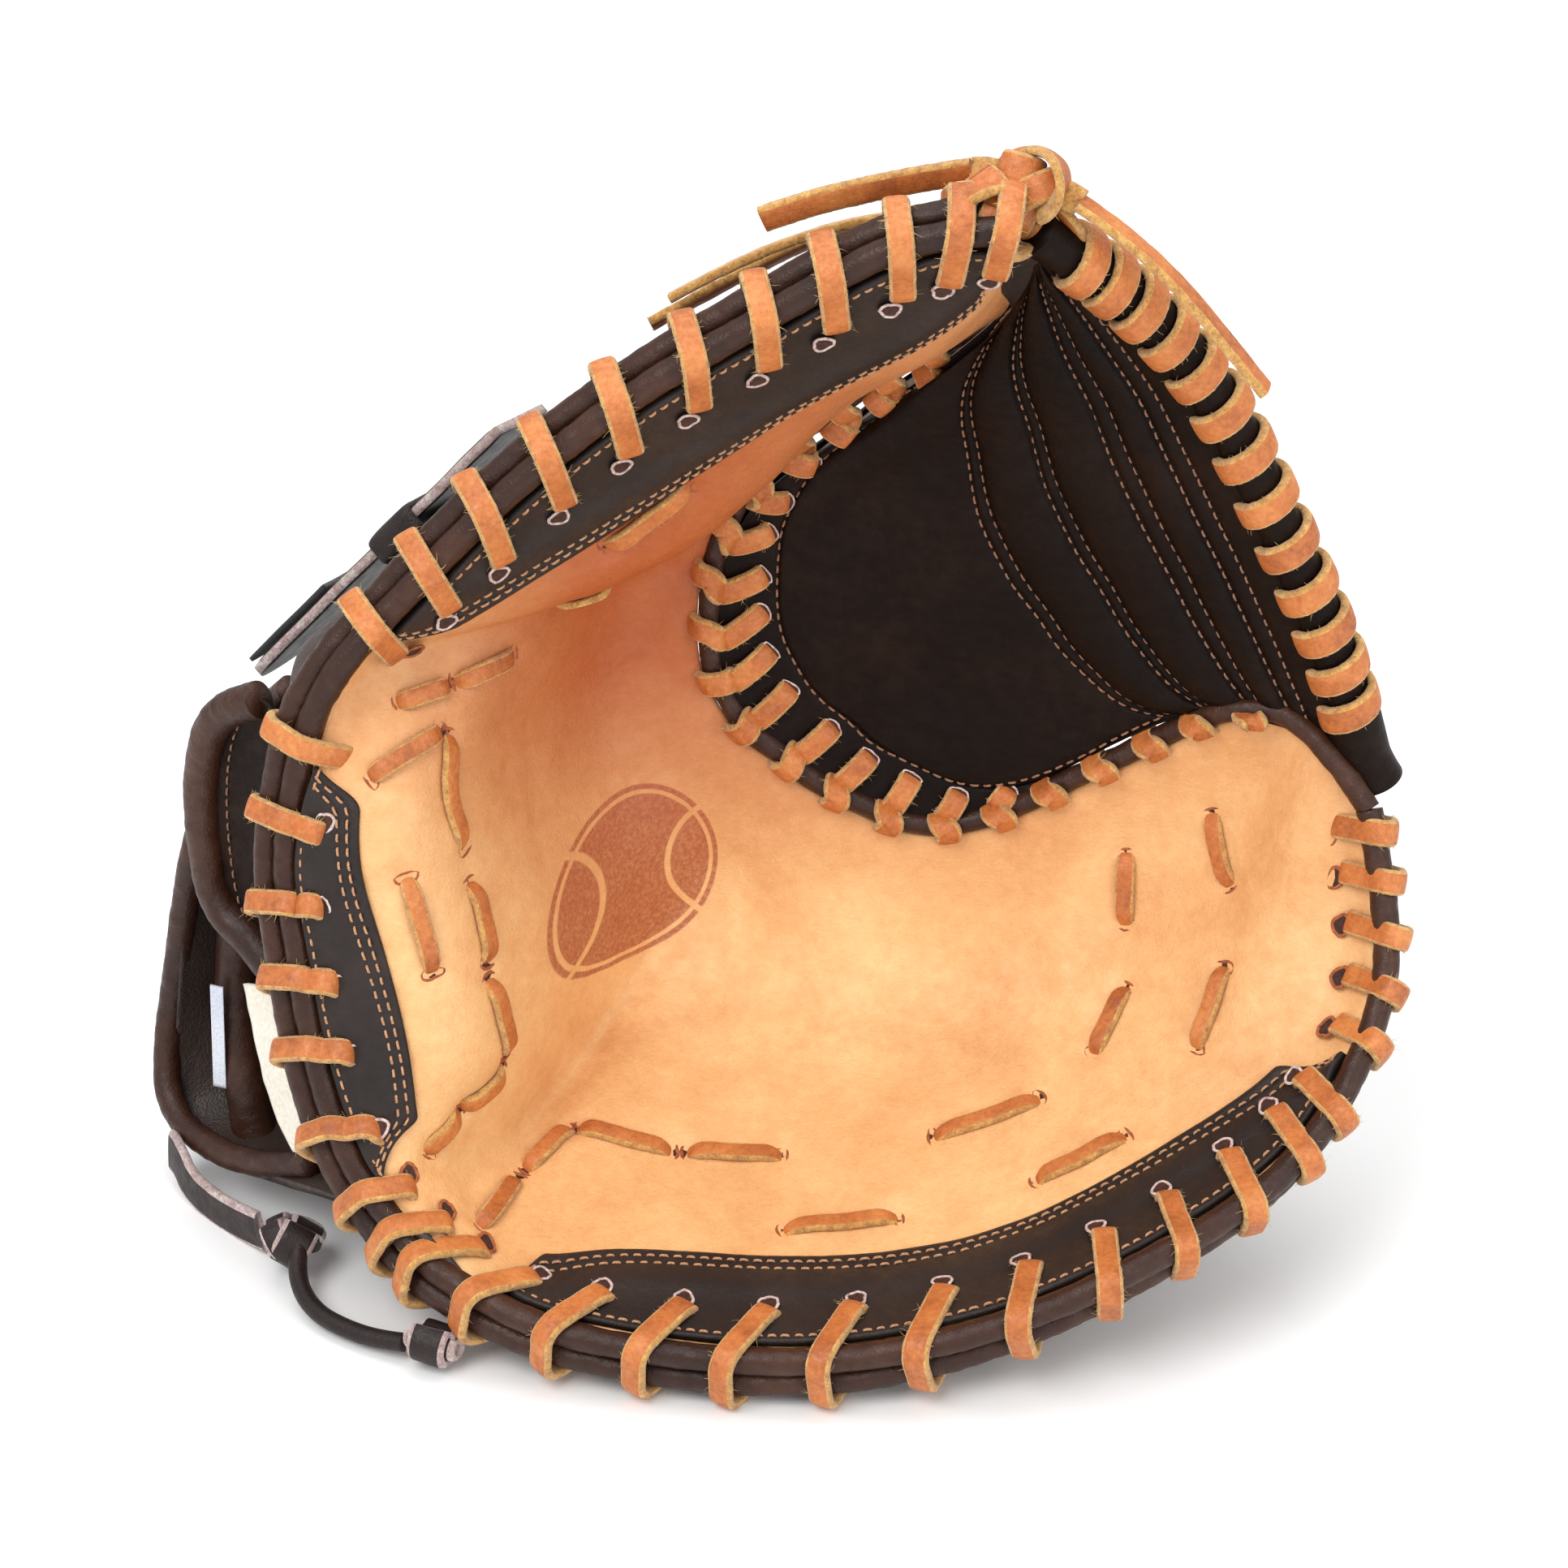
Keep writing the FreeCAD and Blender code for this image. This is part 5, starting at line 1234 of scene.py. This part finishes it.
def flap_point(t, r):
    outer, inner = (spline(np.arange(6.0), np.array(p, float), t) for p in (FLAP, FLAP_ROOT))
    r = r[..., None]
    return inner * (1 - r) + outer * r + np.array([0, 3.0, 0]) * np.sin(np.pi * r)


t, r = np.meshgrid(np.linspace(0, 5, 90), np.linspace(0, 0.98, 26))
skin = flap_point(t, r)
puff = 0.8 * np.sin(np.pi * np.clip(r, 0, 1)) + 0.3 * wrinkle(skin, 7.0)
puffed = skin - np.array([-0.3, 1.0, -0.1]) * puff[..., None]
cover = thick_sheet("wrist_flap_skin", puffed, skin + np.array([-0.6, 2.2, 0]), [FLAP_LEATHER])
settle(cover, "finger_side", "binding_leather", "wrist_flap")
free_edge = flap_point(np.linspace(0, 5, 160), np.full(160, 0.93))
flap_edge = np.vstack([free_edge, [(-130, 83, 72), (-124, 78, 67)]])
flap_roll = smooth_path(flap_edge[::12].tolist() + [(-124, 78, 67)], 200)
padded_tube("wrist_flap_roll", flap_roll, BIND * 1.4, ("wrist_flap_binding",))
row_t = np.linspace(0.2, 4.8, 160)
row = flap_point(row_t, np.full(160, 0.62)) - np.array([-0.3, 1.0, -0.1])
thread_still = Heap()
stitch_row(thread_still, row, np.tile([-0.3, -1.0, 0.15], (160, 1)), radius=0.3)

a, t = grid(8.4, 9.5, 60, 0, 1, 24)
wall = back_rim(a) + np.array([-12.5, 12.0, -5.0]) * t[..., None] + np.array([0, 2.0, 0])
wall = wall + (0.5 * wrinkle(wall, 6.0))[..., None] * np.array([1.0, 0, 0])
lining = thick_sheet("cuff_lining", wall, wall + np.array([1.4, 0, 0.3]), [LINING])
settle(lining, "finger_side", "lining")
x, y = np.meshgrid(np.linspace(0, 1, 14), np.linspace(0, 1, 30))
TAG_PLACE = np.array([-151.3, 108, 53.5])
TAG_WIDE, TAG_LONG = np.array([3.6, -1.4, 0]), np.array([-1.0, -2, -30.0])
tag = TAG_PLACE + x[..., None] * TAG_WIDE + y[..., None] * TAG_LONG
tag = thick_sheet("plain_label", tag, tag + np.array([0, 0.8, 0]), [LABEL])
settle(tag, "finger_side", "label", "size_label")

CUFF_KNOT, END_KNOT = np.array([-126, 53.8, 9.3]), np.array([-86.4, 14.1, 7.2])


def dark_knot(name, centre, wraps, nodes):
    """A knot pulled tight in a flat strip: broad wraps whose grain side shows."""
    heap = Heap()
    loop = np.linspace(0, 2 * np.pi, 60)[:, None]
    for offset, axis, size, width in wraps:
        axis = unit(np.array(axis, float))
        one = unit(np.cross(axis, [0.1, 1.0, 0.2]))
        ring = centre + np.array(offset, float) + hoop(one, np.cross(axis, one), loop) * size
        ribbon(heap, ring + axis * (loop / np.pi - 1) * 0.8, axis + 0 * ring, width=width, thick=2.2, fuzz=0.0)
    return settle(heap.make(name, [DARK_LACE, PALE_EDGE]), "finger_side", "dark_lace", *nodes)


WRIST_WRAPS = (
    ((1, 0, 0), (0.85, -0.15, -0.5), 5.4, 9.6),
    ((-2.5, 0.5, 1.5), (0.9, 0.1, 0.42), 4.6, 6.4),
    ((2, 1.5, 1.5), (0.3, 0.25, 0.92), 4.8, 5.6),
)
END_WRAPS = (((0, 0, 0), (0.92, -0.36, -0.1), 4.3, 9.6), ((0, 0, 0), (0.92, -0.36, -0.1), 2.0, 13.5))
dark_knot("wrist_knot", CUFF_KNOT, WRIST_WRAPS, ("cuff_knot",))
knot_end = dark_knot("cord_end_knot", END_KNOT, END_WRAPS, ("end_knot",))
cord_path = route(WRIST_CORD)
heap = Heap()
loose = drawn(route([(-163, 97, 9)] + CUFF_LACE))
ribbon(heap, loose, np.array([0.3, -0.35, 0.9]), width=11.4, thick=2.2)
cuff_lace = heap.make("wrist_lace", [DARK_LACE, PALE_EDGE])
settle(cuff_lace, "finger_side", "dark_lace", "cuff_lace")

# ---------------------------------------------------------------- strap, keeper and hook tape
STRAP_TOP, STRAP_END = np.array([-64, 128, 213.0]), np.array([-135, 136, 137.0])
along = unit(STRAP_END - STRAP_TOP)
width_way = np.array([0, 0.88, -0.47])
across = unit(width_way - along * (width_way @ along))
square = np.cross(along, across)
STRAP_TOP, STRAP_END = STRAP_TOP - np.array([0, 0, 7.0]), STRAP_END - np.array([0, 0, 4.0])
middle = (STRAP_TOP + STRAP_END) / 2


def soft_box(name, centre, length, width, thick, materials, round_end=0.0):
    """A leather strip: faces in the first material and cut edges in the second."""
    x, y = np.meshgrid(np.linspace(-1, 1, 80), np.linspace(-1, 1, 26))
    reach = length / 2 - round_end * (1 - np.sqrt(np.clip(1 - y**2, 0, 1))) * (x > 0)
    flat = centre + along * (x * reach)[..., None] + across * (y * width / 2)[..., None]
    wave = 0.25 * wrinkle(flat, 14.0)
    edge = np.maximum(np.abs(x), np.abs(y))
    half = thick / 2 * (1 - 0.25 * np.clip((edge - 0.94) / 0.06, 0, 1))
    top, bottom = flat + square * (wave + half)[..., None], flat + square * (wave - half)[..., None]
    obj = thick_sheet(name, top, bottom, materials)
    sides = 2 * 79 * 25
    index = np.zeros(len(obj.data.polygons), np.int32)
    index[sides:] = 1
    obj.data.polygons.foreach_set("material_index", index)
    return obj


strap = soft_box("strap", middle, 100.0, 32.0, 3.2, [STRAP, PALE_EDGE], 9.0)
settle(strap, "strap", "strap_leather", "wrist_strap")
heap = Heap()
turn = np.linspace(0, 2 * np.pi, 160)[:, None]
corner = np.sign(np.cos(turn)) * np.abs(np.cos(turn)) ** 0.25, np.sign(np.sin(turn)) * np.abs(np.sin(turn)) ** 0.25
ring = STRAP_TOP + along * 40 + across * corner[0] * 17.8 + square * corner[1] * 3.4
ribbon(heap, ring, along + 0 * ring, width=15.0, thick=2.2)
keeper = heap.make("keeper", [STRAP, STRAP])
settle(keeper, "thumb_side", "strap_leather", "strap_keeper")
tape = soft_box("hook_strip", STRAP_END - along * 20 - square * 2.45, 30.0, 24.0, 1.6, [TAPE] * 2)
settle(tape, "strap", "tape", "hook_tape")

# ---------------------------------------------------------------- back shells and linings

def seam(t, places, width):
    return sum(bell(t - p, width) for p in places)


a, r = grid(0, 6.1, 150, 0, 1, 80)
outer = behind(a, r)
shape = 1.4 * np.sin(np.pi * np.clip(r, 0, 1)) ** 0.6
shape = shape + 0.5 * wrinkle(outer, 16.0) - 1.2 * seam(r, (0.45,), 0.02)
away = unit(outer - front(a, r))
inside = behind(a, r, BACK)
shell = thick_sheet("thumb_back", inside, outer + away * shape[..., None], [HIDE])
mitt(shell, "back_leather", "thumb_back_shell")
r_line = np.linspace(0.2, 5.9, 300)
for rr in (0.42, 0.48):
    row = 0 * r_line + rr
    up = unit(behind(r_line, row) - front(r_line, row))
    stitch_row(thread, behind(r_line, row) + up * 1.5, up)
a, r = grid(6.02, LAST, 330, 0, 1, 110)
outer = back_shell(a, r)
square_way = unit(np.cross(np.gradient(outer, axis=1), np.gradient(outer, axis=0)))
square_way *= np.sign((square_way * (outer - np.array([0, 60, 110.0]))).sum(-1, keepdims=True))
shape = 0.5 * wrinkle(outer, 16.0) - 1.3 * seam(a, (11.6, 13.4, 15.0, 16.6), 0.05) * np.clip(r * 8, 0, 1)
shape = shape * np.clip((outer[..., 2] - 3) / 6, 0, 1)
shell = thick_sheet("finger_back", outer - square_way * BACK, outer + square_way * shape[..., None], [HIDE])
mitt(shell, "back_leather", "finger_back_shell")
for aa in (11.5, 11.7, 13.3, 13.5, 14.9, 15.1, 16.5, 16.7):
    rr = np.linspace(0.12, 0.95, 160)
    path = back_shell(aa + 0 * rr, rr)
    up = unit(path - np.array([20, 60, 120.0]))
    keep = path[:, 2] > 9
    stitch_row(thread, path[keep] + up[keep] * 0.2, up[keep])
a, r = grid(0.5, 5.5, 90, 0.1, 0.88, 40)
inside, palm_side = behind(a, r, BACK), front(a, r)


def between(share):
    """A surface between the back shell's inside and the palm, with this share of the first."""
    return inside * share + palm_side * (1 - share)


glove = thick_sheet("thumb_lining_cloth", between(0.6), between(0.65), [LINING])
mitt(glove, "lining", "thumb_lining")
felt = thick_sheet("thumb_padding", between(0.45), between(0.12), [FELT])
mitt(felt, "padding", "thumb_pad")
for node in ("hand_lining", "finger_lining", "heel_pad", "finger_pad", "finger_tip_pad",
             "web_padding_thumb_side", "web_padding_finger_side"):
    item = bpy.data.objects.get(node)
    if item is not None:
        item.data.materials.clear()
        item.data.materials.append(LINING if "lining" in node else FELT)

mitt(thread.make("palm_thread", [THREAD]), "tan_lace")
mitt(web_thread.make("web_thread", [THREAD_DULL]), "tan_lace")
still = thread_still.make("flap_thread", [THREAD_DULL])
settle(still, "finger_side", "tan_lace")
mitt(holes.make("lace_holes", [HOLE_SHADE, RIM_PALE, RIM_TAN]), "palm_leather")
mitt(FIBRES.make("fibres", [FIBRE_MATERIAL]), "tan_lace")

# ---------------------------------------------------------------- studio
def floor_material():
    m = Shader("floor", Roughness=0.45)
    m.bsdf.inputs["Base Color"].default_value = (0.93, 0.93, 0.93, 1)
    return m.material


floor_mesh = bpy.data.meshes.new("floor")
floor_mesh.from_pydata([(-6, -6, 0), (6, -6, 0), (6, 6, 0), (-6, 6, 0)], [], [(0, 1, 2, 3)])
floor_mesh.materials.append(floor_material())
floor = bpy.data.objects.new("floor", floor_mesh)
bpy.context.collection.objects.link(floor)


def area_light(name, place, size, power, aim=(0, 0, 0.12), tint=(1, 1, 1)):
    light = bpy.data.lights.new(name, "AREA")
    light.shape, light.size, light.energy, light.color = "DISK", size, power, tint
    obj = bpy.data.objects.new(name, light)
    obj.location = place
    obj.rotation_euler = (Vector(aim) - Vector(place)).to_track_quat("-Z", "Y").to_euler()
    bpy.context.collection.objects.link(obj)


area_light("key", (-0.9, -1.2, 1.9), 1.5, 32)
area_light("fill", (1.3, -1.3, 0.9), 1.6, 12)
area_light("top", (0.1, 0.5, 2.0), 1.8, 16)
world = bpy.data.worlds.new("studio")
world.use_nodes = True
world.node_tree.nodes["Background"].inputs["Color"].default_value = (1, 1, 1, 1)
world.node_tree.nodes["Background"].inputs["Strength"].default_value = 0.75
bpy.context.scene.world = world
